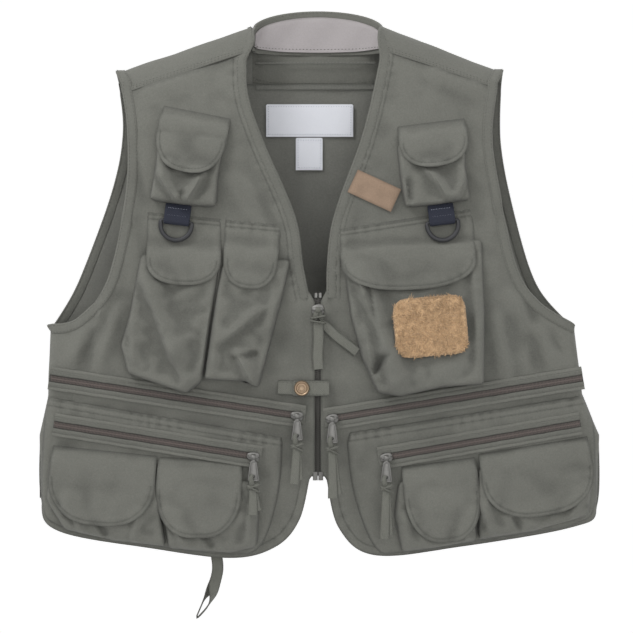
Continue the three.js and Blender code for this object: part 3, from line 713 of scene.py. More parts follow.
def on_surface(line, surface, out, lift=0.0):
    """Points and outward normals of a line lying on a curved surface."""
    x, z = line[:, 0], line[:, 1]
    y = surface(x, z)
    gx = (surface(x + 1, z) - surface(x - 1, z)) / 2
    gz = (surface(x, z + 1) - surface(x, z - 1)) / 2
    gx, gz = np.clip(gx, -1.5, 1.5), np.clip(gz, -1.5, 1.5)
    normal = unit(np.column_stack([-gx, np.ones(len(x)), -gz])) * out
    return np.column_stack([x, y, z]) + normal * lift, normal


def make_fronts():
    for name, outline, edge, hem in (
        ("right", [under(FRONT_ARMHOLE_R), SIDE_R, HEM_R, PLACKET_R[::-1], under(EDGE_R)[2:]],
         EDGE_R, HEM_R),
        ("left", [under(EDGE_L)[:-2], PLACKET_L[::-1], HEM_L, SIDE_L[::-1], under(FRONT_ARMHOLE_L)],
         EDGE_L, HEM_L),
    ):
        seams = [offset(edge, 2.6), offset(edge, 14.0), offset(hem, 9.0)]
        raised = lambda x, z: (0.7 * smoothstep(-distance(np.column_stack([x, z]), edge)[0], -16.5, -14.5)
                               + 1.3 * smoothstep(-np.abs(x), -11, -7) * (z < 60))
        piece = Piece()
        size, area = cloth(piece, np.vstack(outline), front, seams=seams, spacing=4.2, thick=1.6, inner=2,
                           raise_by=raised, pucker=0.5)
        obj = piece.build(f"{name}_front_cloth", [CLOTH, THREAD, INSIDE_PAINTED_LIGHT],
                          stands_for=[f"{name}_front"], slot="cloth")


def make_back():
    hem = curve([(-297, -190), (-200, -200), (0, -158), (200, -200), (298, -190)])
    right, left = (line[line[:, 1] < YOKE_Z + 4] for line in (BACK_ARMHOLE_R, BACK_ARMHOLE_L))
    piece = Piece()
    size, area = cloth(piece, np.vstack([right, SIDE_R, hem, SIDE_L[::-1], left]), back,
                       seams=[offset(hem, 9.0)], spacing=5.0, thick=1.6, out=1, inner=2)
    obj = piece.build("back_cloth", [CLOTH, THREAD, INSIDE_PAINTED_LIGHT], stands_for=["back_panel"], slot="cloth")


def shoulder_arc(x, angle):
    """The shoulder's section: forward for a negative angle and back for a positive one."""
    depth = np.where(angle < 0, FRONT_LINE[2][1] + BODY_CLOTH, BACK_LINE[1][1] + BODY_CLOTH)
    width = by_side(x, UNDERARM)
    squeeze = (1 - (np.abs(x) / width) ** 8) ** (1 / 8)
    y = depth * squeeze * np.sin(angle)
    z = shoulder_z(x) - ROUNDING * (1 - np.cos(angle))
    return y, z


def angle_down_to(x, z):
    return np.arccos(np.clip(1 - (shoulder_z(x) - z) / ROUNDING, -1, 1))


def grid_faces(nu, nv, flip=False):
    faces = []
    for i in range(nu - 1):
        for k in range(nv - 1):
            f = (i * nv + k, (i + 1) * nv + k, (i + 1) * nv + k + 1, i * nv + k + 1)
            faces.append(tuple(reversed(f)) if flip else f)
    return faces


def make_yoke():
    piece = Piece()
    for side, inner_x, outer_front, outer_back in ((-1, -71, -207, -212), (1, 66, 189, 197)):
        tip_x = side * (TIP[0 if side < 0 else 1][0] - 2.5)
        nu, nv = 34, 40
        u = np.linspace(0, 1, nu)[:, None]
        v = np.linspace(-1, 1, nv)[None, :]
        edge = tip_x + (np.where(v < 0, outer_front, outer_back) - tip_x) * v**2
        x = inner_x + (edge - inner_x) * u
        angle = v * np.where(v < 0, angle_down_to(x, yoke_seam(x)), angle_down_to(x, YOKE_Z - 2.0))
        y, z = shoulder_arc(x, angle)
        flat = lambda a: np.broadcast_to(a, (nu, nv)).ravel()
        x, y, z, angle = flat(x), flat(y), flat(z), flat(angle)
        puff = 1.2 + 1.0 * cloud(x, z + np.sign(angle) * 200, 50, 3.1)
        normal = unit(np.column_stack([0 * x, np.sin(angle) * 2.5, np.cos(angle)]))
        verts = np.column_stack([x, y, z]) + normal * puff[:, None]
        faces = grid_faces(nu, nv, flip=side < 0)
        # Painted shade: the colour darkens along the yoke's front and back edges.
        painted_edge_shade = -0.3 * (np.abs(flat(v)) > 0.985)
        full, all_faces, behind = thicken(verts, faces, 1.6)
        piece.add(full, all_faces, [0] * behind + [2] * (len(all_faces) - behind),
                  np.concatenate([painted_edge_shade, painted_edge_shade]))
        rows, up = verts.reshape(nu, nv, 3), normal.reshape(nu, nv, 3)
        for k in (1, -2, 2, -3):
            stitches(piece, rows[:, k] + up[:, k] * 0.1, up[:, k])
    # The middle of the back yoke runs up to the foot of the collar.
    nu, nv = 44, 22
    x = np.linspace(-75, 70, nu)[:, None] * np.ones((1, nv))
    w = np.linspace(0, 1, nv)[None, :] * np.ones((nu, 1))
    share = np.clip(np.abs(x) / 70, 0, 1) ** 6
    top_angle = angle_down_to(0 * x, 288.0) * (1 - share)
    angle = angle_down_to(x, YOKE_Z - 2.0) * (1 - w) + top_angle * w
    y, z = shoulder_arc(x, angle)
    foot_y = (COLLAR["ry"] + 3) * np.sqrt(np.clip(1 - (x / 70.5) ** 2, 0, 1))
    foot_z = 290 + (shoulder_z(x) - 290) * share
    end_y, end_z = shoulder_arc(x, top_angle)
    y = y + w**3 * (foot_y - end_y) + 1.2 + 1.6 * smoothstep(np.abs(x), 58, 66)
    z = z + w**3 * (foot_z - end_z) + 1.4 * smoothstep(np.abs(x), 58, 66) * smoothstep(w, 0.5, 0.9)
    verts = np.column_stack([x.ravel(), y.ravel(), z.ravel()])
    full, all_faces, behind = thicken(verts, grid_faces(nu, nv), 1.6)
    piece.add(full, all_faces, [0] * behind + [2] * (len(all_faces) - behind))
    for row in (1, 2):
        run = verts.reshape(nu, nv, 3)[:, row]
        stitches(piece, run + (0, 0.2, 0), (0, 1, 0))
        stitches(piece, run - (0, 2.0, 0), (0, -1, 0))
    for height, wide in ((251.0, 5.0), (277.0, 2.4)):
        across = np.linspace(-67, 62, 44)
        depth, level = shoulder_arc(across, angle_down_to(across, height))
        path = np.column_stack([across, depth - 2.2, level])
        piece.add(*sweep(path, oval(wide, 1.4, 10, 0.7), (0, -1, 0)), 2, -0.12)
        stitches(piece, path + (0, -0.8, wide / 2 - 0.8), (0, -1, 0))
    obj = piece.build("yoke_cloth", [CLOTH, THREAD, INSIDE_PAINTED_LIGHT], stands_for=["yoke"], slot="cloth")


def collar_ring(angle, grow):
    round_part = np.clip(angle, 0, math.pi)
    return np.column_stack([np.cos(round_part) * (COLLAR["rx"] + grow),
                            np.sin(angle) * (COLLAR["ry"] + grow)])


def collar_top(angle):
    """Height of the collar's edge: an arch from the ends of the front bands over the back of the neck."""
    past = np.maximum(np.maximum(-angle, angle - math.pi), 0)
    return 311.5 - 22 * smoothstep(past, 0, 0.55) + 21 * np.maximum(np.sin(angle), 0) ** 1.1


def upright_band(piece, angle, low, high, outer, inner, rows=12):
    """A curved upright band between two heights, closed all round; returns its outer and inner grids."""
    grids = []
    for grow in (outer, inner):
        grid = []
        for r in np.linspace(0, 1, rows):
            bulge = grow + 0.7 * math.sin(r * math.pi) + 0.5 * np.sin(angle * 9 + 4 * r)
            edge = 0.9 * max(0, r - 0.88) / 0.12 * (-1 if grow == outer else 1)
            at = collar_ring(angle, bulge + edge)
            grid.append(np.column_stack([at, low + r * (high - low)]))
        grids.append(np.array(grid))
    loop = np.concatenate([grids[0], grids[1][::-1]])
    n, m = len(loop), len(angle)
    faces = [(i * m + k, i * m + k + 1, (i + 1) % n * m + k + 1, (i + 1) % n * m + k)
             for i in range(n) for k in range(m - 1)]
    faces += [tuple(i * m for i in reversed(range(n))), tuple(i * m + m - 1 for i in range(n))]
    piece.add(loop.reshape(-1, 3), faces, 0)
    return grids


def make_collar():
    angle = np.linspace(-0.6, math.pi + 0.6, 70)
    radial = np.column_stack([np.cos(angle), np.maximum(np.sin(angle), 0), 0 * angle])
    piece, lining = Piece(), Piece()
    outer, _ = upright_band(piece, angle, COLLAR["bottom"] - 1.0, collar_top(angle) - 1.0, 2.6, 0.2)
    for row in (1, 9):
        stitches(piece, outer[row] + radial * 0.25, radial)
    obj = piece.build("collar_cloth", [CLOTH, THREAD], stands_for=["collar"], slot="cloth")
    low = COLLAR["bottom"] + 2.0 + 2.0 * np.abs(np.cos(angle)) ** 3
    _, inner = upright_band(lining, angle, low, np.maximum(collar_top(angle) - 5.5, low + 1.5), -0.5, -1.7)
    stitches(lining, inner[1] - radial * 0.2, -radial)
    obj = lining.build("collar_inside", [LINING, THREAD], stands_for=["collar_lining"], slot="lining")


def make_neck_binding():
    """The band that runs up one front edge, round the top of the collar and down the other."""
    right, lift = on_surface(offset(EDGE_R[EDGE_R[:, 1] < 280], 5.6), front, -1, -0.5)
    left, lift_left = on_surface(offset(EDGE_L[EDGE_L[:, 1] < 280], 5.6), front, -1, -0.5)
    angle = np.linspace(0.03, math.pi - 0.03, 40)[::-1]
    ring = np.column_stack([collar_ring(angle, 1.4), collar_top(angle) - 4.2])
    radial = np.column_stack([np.cos(angle), np.sin(angle), 0 * angle])
    paths, outs = [right], [lift]
    for x, side in ((-71.5, -1), (67.5, 1)):
        turn = np.linspace(0.66, 0.2, 8)
        y, z = shoulder_arc(np.full(8, float(x)), -turn)
        climb = np.column_stack([x + side * 0.5 + 0 * y, y - 1.0, z - 1.0])
        away = np.column_stack([side * (1.1 - turn), -turn * 1.6, 0.5 + 0 * turn])
        paths += [climb, ring] if side < 0 else [climb[::-1], left]
        outs += [unit(away), radial] if side < 0 else [unit(away)[::-1], lift_left]
    path, out = np.vstack(paths), np.vstack(outs)
    run = np.concatenate([[0], np.cumsum(np.linalg.norm(np.diff(path, axis=0), axis=1))])
    smooth = curve(path[::3], 3.2)
    at = np.concatenate([[0], np.cumsum(np.linalg.norm(np.diff(smooth, axis=0), axis=1))])
    at *= run[-1] / at[-1]
    normal = unit(np.column_stack([np.interp(at, run, out[:, k]) for k in range(3)]))
    binding("neck_binding", [(smooth, normal)], width=11.5, thick=3.4)


def ribbon(path, width, thick, up, steps=12, widths=None):
    """A flat tape along a path; up is its broad side's direction."""
    profile = oval(width, thick, steps, 0.5)
    if widths is not None:
        profile = np.array([oval(w, thick, steps, 0.5) for w in widths])
    verts, faces = sweep(path, profile, up)
    # Painted shade darkens the tape's edges and a painted highlight lifts its broad faces.
    painted_edge_shade_and_face_light = 0.12 - 0.85 * np.abs(np.cos(np.arange(steps) * 2 * math.pi / steps)) ** 4
    return verts, faces, 0, np.tile(painted_edge_shade_and_face_light, len(verts) // steps)


def make_hanger():
    y = COLLAR["ry"] + 3.8 + 3
    path = curve([(-15, y - 1, 296), (-15, y, 312), (-13.5, y, 321), (-8, y, 324.7), (8, y, 324.7),
                  (13.5, y, 321), (15, y, 312), (15, y - 1, 296)], 1.5)
    piece = Piece()
    piece.add(*ribbon(path, 5.6, 1.7, np.cross(unit(np.gradient(path, axis=0)), (0, 1, 0))))
    obj = piece.build("hanger_tape", [WEBBING], stands_for=["hanger_loop"], slot="dark_cloth")


def make_label():
    inner_back = lambda x, z: (line_depth(z, BACK_LINE) + 0 * x) * roundness(x, z) - 0.4
    piece = Piece()
    for outline in ([(-56, 198), (-56, 233), (38, 233), (38, 198)],
                    [(-24, 162), (-24, 197), (5, 197), (5, 162)]):
        ring = np.array(outline, float)
        rim = offset(resample(ring, 2.0, True), -2.6, True)
        cloth(piece, ring, lambda x, z: inner_back(x, z) - 1.0, spacing=3.0, thick=0.8, roll=0.3)
        run = np.vstack([rim, rim[:1]])
        stitches(piece, np.column_stack([run[:, 0], inner_back(run[:, 0], run[:, 1]) - 1.1, run[:, 1]]),
                 (0, -1, 0), length=2.0, gap=0.7)
    obj = piece.build("neck_label_blank", [LABEL, LABEL_THREAD], stands_for=["neck_label"], slot="label")


def turned(points, centre, angle):
    c, s = math.cos(angle), math.sin(angle)
    p = np.asarray(points, float)
    return np.column_stack([p[:, 0] * c - p[:, 1] * s, p[:, 0] * s + p[:, 1] * c]) + centre


def make_tag():
    ring = turned([(-25, -13), (25, -13), (25, 13), (-25, 13)], (59, 136), -0.43)
    piece = Piece()
    cloth(piece, ring, lambda x, z: front(x, z) - 2.8, spacing=2.5, thick=2.0, roll=0.3)
    obj = piece.build("suede_tag", [SUEDE], stands_for=["leather_tag"], slot="suede")


# ---- Pockets ----
def flap_ring(width, drop, centre, slope, above, flare=0.03):
    """A flap's outline: a straight top above its hinge, flaring sides and a rounded lower edge."""
    half = width / 2
    belly = half * (1 + flare)
    a = np.pi + np.pi * np.arange(25) / 24
    x = belly * np.sign(np.cos(a)) * np.abs(np.cos(a)) ** 0.8
    z = -drop * 0.38 + drop * 0.62 * np.sin(a)
    points = np.vstack([[(half, above), (-half, above)], np.column_stack([x, z])])
    return turned(points, centre, slope)


POCKETS = (
    {"name": "right_fly", "level": "front", "above": 5, "top": 196, "low": 123, "depth": (4.5, 12),
     "flap": (-128, 214, 72, 60, -0.2),
     "bag": [(-167, 196), (-98, 184), (-104, 152), (-106, 118), (-142, 121), (-177, 126), (-171, 158)],
     "folds": ((-142, 118, -170, 160, 7, 8), (-118, 156, -142, 118, 6.5, 8),
               (-142, 118, -143, 136, -5, 5))},
    {"name": "left_fly", "level": "front", "above": 4, "top": 194, "low": 121, "depth": (4.5, 12),
     "flap": (119, 204, 71, 43, 0.13),
     "bag": [(82, 186), (154, 194), (155, 160), (160, 126), (142, 124), (124, 121), (91, 118), (86, 150)],
     "folds": ((142, 120, 112, 160, 7, 8), (158, 160, 142, 120, 5, 7), (96, 120, 94, 150, -3, 5))},
    {"name": "right_chest_outer", "level": "front", "above": 2, "top": 66, "low": -70, "depth": (4, 15),
     "flap": (-140, 79, 76, 42, -0.05), "seam": ((-179, 114), (-102, 106.5)),
     "bag": [(-186, 70), (-103, 60), (-112, 0), (-121, -64), (-138, -77), (-199, -56), (-207, -26),
             (-198, 5)],
     "folds": ((-146, -48, -184, 50, 8, 15), (-134, -74, -156, -20, 5, 13), (-192, -50, -196, 10, 4, 9),
               (-118, -60, -112, 10, 3, 10))},
    {"name": "right_chest_inner", "level": "front", "above": 2, "top": 58, "low": -68, "depth": (4, 15),
     "flap": (-69, 80, 55, 47, -0.09), "seam": ((-97.5, 106), (-39, 100.5)),
     "bag": [(-101, 60), (-28, 64), (-38, 20), (-47, -14), (-62, -72), (-76, -64), (-120, -62), (-112, -5)],
     "folds": ((-54, 16, -106, -26, 5, 10), (-66, -74, -86, -30, 9, 9), (-90, -40, -62, -34, -4, 6),
               (-112, -58, -104, 20, 3, 8), (-40, 30, -52, -20, 3, 8))},
    {"name": "left_chest", "level": "front", "above": 2, "top": 66, "low": -74, "depth": (4.5, 19),
     "flap": (94, 78, 137, 46, 0.04), "seam": ((22, 96), (162, 117.5)),
     "bag": [(26, 66), (172, 86), (175, 10), (174, -67), (130, -70), (86, -80), (62, -76), (46, -40),
             (34, 4)],
     "folds": ((80, -80, 66, -10, 9, 16), (68, -20, 34, 62, 8, 15), (60, -72, 46, 0, 5, 7),
               (74, -34, 54, -62, -6, 6), (48, 60, 62, -10, -4, 5), (168, -60, 162, 60, 3, 8))},
    {"name": "right_outer", "level": "cargo", "above": 5, "top": -152, "low": -232, "depth": (5, 10),
     "flap": (-225, -142, 110, 74, -0.1),
     "bag": [(-284, -146), (-171, -160), (-166, -200), (-160, -239), (-215, -233), (-268, -221),
             (-287, -190)],
     "folds": ((-250, -226, -262, -180, 3.5, 7), (-196, -236, -190, -200, 3, 7),
               (-222, -232, -236, -206, -3, 6))},
    {"name": "right_inner", "level": "cargo", "above": 5, "top": -166, "low": -240, "depth": (5, 10),
     "flap": (-124, -151, 88, 78, -0.06),
     "bag": [(-168, -162), (-68, -170), (-62, -205), (-64, -239), (-92, -246), (-158, -241), (-164, -200)],
     "folds": ((-140, -242, -158, -200, 4, 7), (-76, -240, -70, -190, 3, 6),
               (-110, -244, -124, -222, -3, 6))},
    {"name": "left_inner", "level": "cargo", "above": 5, "top": -160, "low": -241, "depth": (5, 10),
     "flap": (127, -154, 78, 80, 0.13),
     "bag": [(84, -170), (166, -158), (167, -200), (168, -233), (125, -240), (88, -245), (80, -205)],
     "folds": ((96, -242, 88, -200, 3, 7), (152, -236, 164, -200, 4, 7))},
    {"name": "left_outer", "level": "cargo", "above": 5, "top": -142, "low": -228, "depth": (5, 10),
     "flap": (227, -136, 116, 70, 0.16),
     "bag": [(168, -156), (286, -136), (290, -170), (286, -206), (226, -223), (169, -232), (168, -195)],
     "folds": ((184, -228, 170, -190, 4, 7), (262, -214, 280, -176, 3, 7), (214, -224, 206, -204, -3, 6))},
)

CARGO_R = np.vstack([[(-38, -123), (-284, -80)], curve([(-289, -100), (-293, -190), (-272, -219),
                                                        (-180, -238),
                     (-92, -248), (-60, -238), (-42, -185), (-37, -130)])])
CARGO_L = np.vstack([[(282, -78), (33, -118)], curve([(30, -130), (38, -185), (60, -240), (90, -246),
                     (200, -229), (272, -216), (294, -192), (291, -100)])])


def cargo(x, z):
    """Outer face of the zipped lower compartments, which swell a little inside their edges."""
    x, z = arrays(x, z)
    points = np.column_stack([x, z])
    d_right, d_left = (distance(points, ring, True)[0] for ring in (CARGO_R, CARGO_L))
    inner = np.minimum(d_right, d_left)
    swell = 3.6 + 1.6 * smoothstep(inner, 10, 45) + 0.9 * cloud(x, z, 34, 14.2)
    y = front(x, z) - 0.8 - rounded_edge(inner, 11.0) * swell
    for zip_ in CARGO_ZIPS:
        y = zip_.pull_in(x, z, y, 12.0)
    return y


BACKINGS = {"front": front, "cargo": cargo}


def bag_face(pocket, x, z, rise):
    """Outer face of a pocket bag, where rise goes from 0 at its sewn edge to 1 inside."""
    backing = BACKINGS[pocket["level"]]
    down = np.clip((pocket["top"] - z) / (pocket["top"] - pocket["low"]), -0.25, 1)
    depth = pocket["depth"][0] + (pocket["depth"][1] - pocket["depth"][0]) * down
    seed = 30 + 3.7 * len(pocket["name"])
    soft = 1.5 * cloud(x, z, 34, seed) + 0.7 * cloud(x, z, 13, seed + 5) + folds(x, z, pocket["folds"])
    return backing(x, z) - 0.4 - rise * (depth + soft * smoothstep(rise, 0.3, 1.0))


def cover(verts, backing, cell=3.0, reach=2):
    """A surface lying just over a settled bag, and on the cloth behind wherever there is no bag."""
    low = verts[:, (0, 2)].min(axis=0) - 12 * cell
    shape = np.ceil((verts[:, (0, 2)].max(axis=0) - low) / cell).astype(int) + 12
    xs, zs = low[0] + cell * np.arange(shape[0]), low[1] + cell * np.arange(shape[1])
    ground = backing(*(g.ravel() for g in np.meshgrid(xs, zs, indexing="ij"))).reshape(shape)
    level = ground.copy()
    at = np.round((verts[:, (0, 2)] - low) / cell).astype(int)
    np.minimum.at(level, (at[:, 0], at[:, 1]), verts[:, 1])
    for step in ("out", "smooth"):
        for _ in range(reach):
            around = [np.roll(np.roll(level, i, 0), k, 1) for i in (-1, 0, 1) for k in (-1, 0, 1)]
            level = np.min(around, axis=0) if step == "out" else np.mean(around, axis=0)

    def surface(x, z):
        u, w = (x - low[0]) / cell, (z - low[1]) / cell
        i, k = np.clip(u.astype(int), 0, shape[0] - 2), np.clip(w.astype(int), 0, shape[1] - 2)
        u, w = np.clip(u - i, 0, 1), np.clip(w - k, 0, 1)
        return ((level[i, k] * (1 - u) + level[i + 1, k] * u) * (1 - w)
                + (level[i, k + 1] * (1 - u) + level[i + 1, k + 1] * u) * w)
    return surface


def make_bag(pocket):
    ring = soft_polygon(pocket["bag"])
    sides = resample(np.array(pocket["bag"][1:] + pocket["bag"][:1], float), 3.0)

    def surface(x, z):
        edge = distance(np.column_stack([x, z]), sides)[0]
        return bag_face(pocket, x, z, rounded_edge(edge, 4.2))

    piece = Piece()
    size, _ = cloth(piece, ring, surface, spacing=2.7, thick=1.1, roll=0.2, rows=(0.7, 1.6, 2.8, 4.4),
                    spare=0.026, hold=3.2,
                    crease=lambda x, z: 0.6 * folds(x, z, pocket["folds"]))
    backing = BACKINGS[pocket["level"]]
    pocket["cover"] = cover(np.vstack(piece.verts), backing)
    obj = piece.build(f"{pocket['name']}_bag", [CLOTH, THREAD], stands_for=[f"{pocket['name']}_pouch"],
                      slot="cloth")


def make_flap(pocket):
    x0, z0, width, drop, slope = pocket["flap"]
    above = pocket["above"]
    ring = flap_ring(width, drop, (x0, z0), slope, above)
    if "seam" in pocket:
        ring[:2] = pocket["seam"][::-1]
        above = np.mean(ring[:2, 1]) - z0
    backing = BACKINGS[pocket["level"]]
    tangent = np.array((math.cos(slope), math.sin(slope)))
    normal = np.array((-tangent[1], tangent[0]))

    def surface(x, z):
        down = -((x - x0) * normal[0] + (z - z0) * normal[1])
        lift = smoothstep(down, -min(above, 5), 12)
        rise = 0.9 * smoothstep(down, -above, -8) if "seam" in pocket else 0.0
        plate = backing(x, z) - 1.0 - rise - (pocket["depth"][0] + 1.6) * lift
        plate = plate - 0.8 * cloud(x, z, 30, 40 + x0 * 0.1) * lift
        over = pocket["cover"](x, z) - 1.9 - 0.8 * smoothstep(down, drop * 0.5, drop)
        covered = smoothstep(down, -5, 3)
        return np.where(covered > 0, np.minimum(plate, over * covered + plate * (1 - covered)), plate)

    edge = curve(ring[2:], 3.0)
    seams = [offset(edge, 4.2)]
    if "seam" in pocket:
        line = resample(np.array(pocket["seam"], float), 3.0)
        seams += [line - (0, 2.6), line - (0, 7.0)]
    piece = Piece()
    size, area = cloth(piece, ring, surface, seams=seams, spacing=2.8, thick=1.7, roll=0.9, inner=2,
                       pucker=0.25)
    obj = piece.build(f"{pocket['name']}_flap_cloth", [CLOTH, THREAD, INSIDE_PAINTED_LIGHT], body=None,
                      stands_for=[f"{pocket['name']}_flap"], slot="cloth")
    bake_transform(obj)


def make_cargo():
    for name, ring in (("right", CARGO_R), ("left", CARGO_L)):
        line = resample(ring[:2] if name == "right" else ring[:2][::-1], 4)
        piece = Piece()
        size, area = cloth(piece, ring, cargo, seams=[line - (0, 3.0), line - (0, 9.0)], spacing=3.6,
                           pucker=0.5)
        obj = piece.build(f"{name}_cargo_cloth", [CLOTH, THREAD], stands_for=[f"{name}_cargo"],
                          slot="cloth")


# ---- Zips ----
def placed(points, origin, axes):
    return np.asarray(points, float) @ np.array(axes) + origin


def rounded_plate(outline, y0, y1, bevel=0.5):
    """A flat plate with softened edges: an outline in X-Z, from depth y0 to y1."""
    ring = np.asarray(outline, float)
    small = offset(ring, bevel, closed=True)
    layers = [(small, y0), (ring, y0 + bevel), (ring, y1 - bevel), (small, y1)]
    n = len(ring)
    verts = np.vstack([np.column_stack([r[:, 0], np.full(n, y), r[:, 1]]) for r, y in layers])
    faces = [tuple(range(n))]
    for i in range(3):
        for k in range(n):
            a, b = i * n + k, i * n + (k + 1) % n
            faces.append((b, a, a + n, b + n))
    faces.append(tuple(reversed(range(3 * n, 4 * n))))
    return verts, faces


def circle_points(radius, steps, cx=0.0, cz=0.0):
    a = np.arange(steps) * 2 * math.pi / steps
    return np.column_stack([cx + radius * np.cos(a), cz + radius * np.sin(a)])


def slider_shape(length, across):
    """A zip slider: a waisted shell with a raised rib, two posts and the bar that the pull hangs from."""
    parts = []
    half, wide = length / 2, across / 2
    side = np.array([(-half, -wide * 0.5), (-half * 0.2, -wide), (half * 0.7, -wide * 0.95),
                     (half, -wide * 0.3)])
    shape = curve(np.vstack([side, side[::-1] * (1, -1)]), 1.2, True)
    parts.append(rounded_plate(shape, -2.9, -0.1, 0.7))
    parts.append(rounded_plate(shape * (0.8, 0.5), -3.6, -2.7, 0.4))
    bar = curve([(-half + 1.2, -2.8, 0), (-half + 1.5, -6.2, 0), (-half + 3.0, -7.3, 0),
                 (half - 3.0, -7.3, 0),
                 (half - 1.5, -6.2, 0), (half - 1.2, -2.8, 0)], 0.8)
    parts.append(sweep(bar, oval(2.2, 1.5, 8, 0.8), (0, 0, 1)))
    return parts


def eye_ring(radius, width):
    """The round eye that turns on a slider's bar, about X."""
    path = circle_points(radius, 16)
    return sweep(np.column_stack([0 * path[:, 0], path]), oval(*width, 8, 0.7), (1, 0, 0), closed=True)


def knot_turn(size, middle, tilt, section, steps):
    """One turn of a knot: a closed band round a strap, higher at one side than at the other."""
    a = np.linspace(0, 2 * math.pi, steps, endpoint=False)
    ring = np.column_stack([size[0] * np.cos(a), size[1] * np.sin(a) + middle[0],
                            middle[1] + tilt * np.cos(a)])
    return sweep(ring, oval(*section, 8, 0.8), np.column_stack([np.cos(a), np.sin(a), 0 * a]), closed=True)


def pull_shape():
    """A pull tab: its eye, a neck, and a long plate with a slot and a raised rim."""
    parts = [eye_ring(2.4, (1.25, 4.6))]
    path = np.array([(0, 0, -2.2), (0, 0, -6.5)])
    parts.append(sweep(path, oval(4.2, 1.5, 8, 0.7), (0, 1, 0)))
    outline = curve([(-2.2, -5.4), (-3.2, -8), (-4.0, -14), (-4.9, -22), (-4.4, -24.8), (4.4, -24.8),
                     (4.9, -22), (4.0, -14), (3.2, -8), (2.2, -5.4)], 1.2, True)
    hole = circle_points(2.1, 18, 0.0, -20.6)
    loop = np.column_stack([outline[:, 0], 0 * outline[:, 0], outline[:, 1]])
    parts.append(sweep(loop, oval(1.7, 2.0, 8, 0.8), (0, 1, 0), closed=True))
    parts.append(rounded_plate(outline * (0.86, 1), -0.55, 0.55, 0.3))
    ring = np.column_stack([hole[:, 0], 0 * hole[:, 0] - 0.5, hole[:, 1]])
    parts.append(sweep(ring, oval(0.7, 0.8, 6), (0, 1, 0), closed=True))
    # A near-black disc fills the hole: painted shade standing in for the view through it.
    parts.append((*rounded_plate(hole * (0.95, 1), -0.62, 0.62, 0.05), 0, -1.0))
    return parts


def knotted_webbing(length, lean, spread):
    """A webbing pull: a narrow loop through the pull's slot, a knot, and two flat tails."""
    parts = []
    for side in (-1, 1):
        loop = curve([(side * 1.2, 1.0 * side, -18.5), (side * 2.6, 1.6 * side, -22),
                      (side * 2.0, 1.2 * side, -26),
                      (side * 1.0, 0.6 * side, -30)], 1.2)
        parts.append(ribbon(loop, 5.0, 1.3, (0, 1, 0), 8, widths=np.linspace(4.2, 6.5, len(loop))))
    for level, tilt in ((-31.0, 1.925), (-33.4, -2.75)):
        parts.append(knot_turn((4.4, 2.6), (-0.4, level), tilt, (2.2, 5.4), 22))
    end = -31 - length
    for side, short in ((-1, 0.0), (1, 4.0)):
        tail = curve([(side * 0.6, side * 0.6, -33),
                      (side * spread * 0.4 + lean * 0.3, side * 0.8 - 0.3, -37 - length * 0.2),
                      (side * spread * 0.7 + lean * 0.7, side * 0.9, end + length * 0.3),
                      (side * spread + lean, side * 0.8, end + short)], 2.0) + (0, -0.8, 0)
        parts.append(ribbon(tail, 10, 1.3, (0.12 * side, 1, 0), 12,
                            widths=np.linspace(8.0, 10.6, len(tail))))
    return parts


def add_teeth(piece, tooth, centres, faces, mat=1):
    """One copy of a tooth's eight corners at each centre."""
    verts = (np.asarray(tooth)[None] + centres[:, None]).reshape(-1, 3)
    piece.add(verts, [tuple(i + 8 * k for i in f) for k in range(len(centres)) for f in faces], mat)


TOOTH_FACES = [(4, 5, 6, 7), (0, 1, 5, 4), (1, 2, 6, 5), (2, 3, 7, 6), (3, 0, 4, 7)]


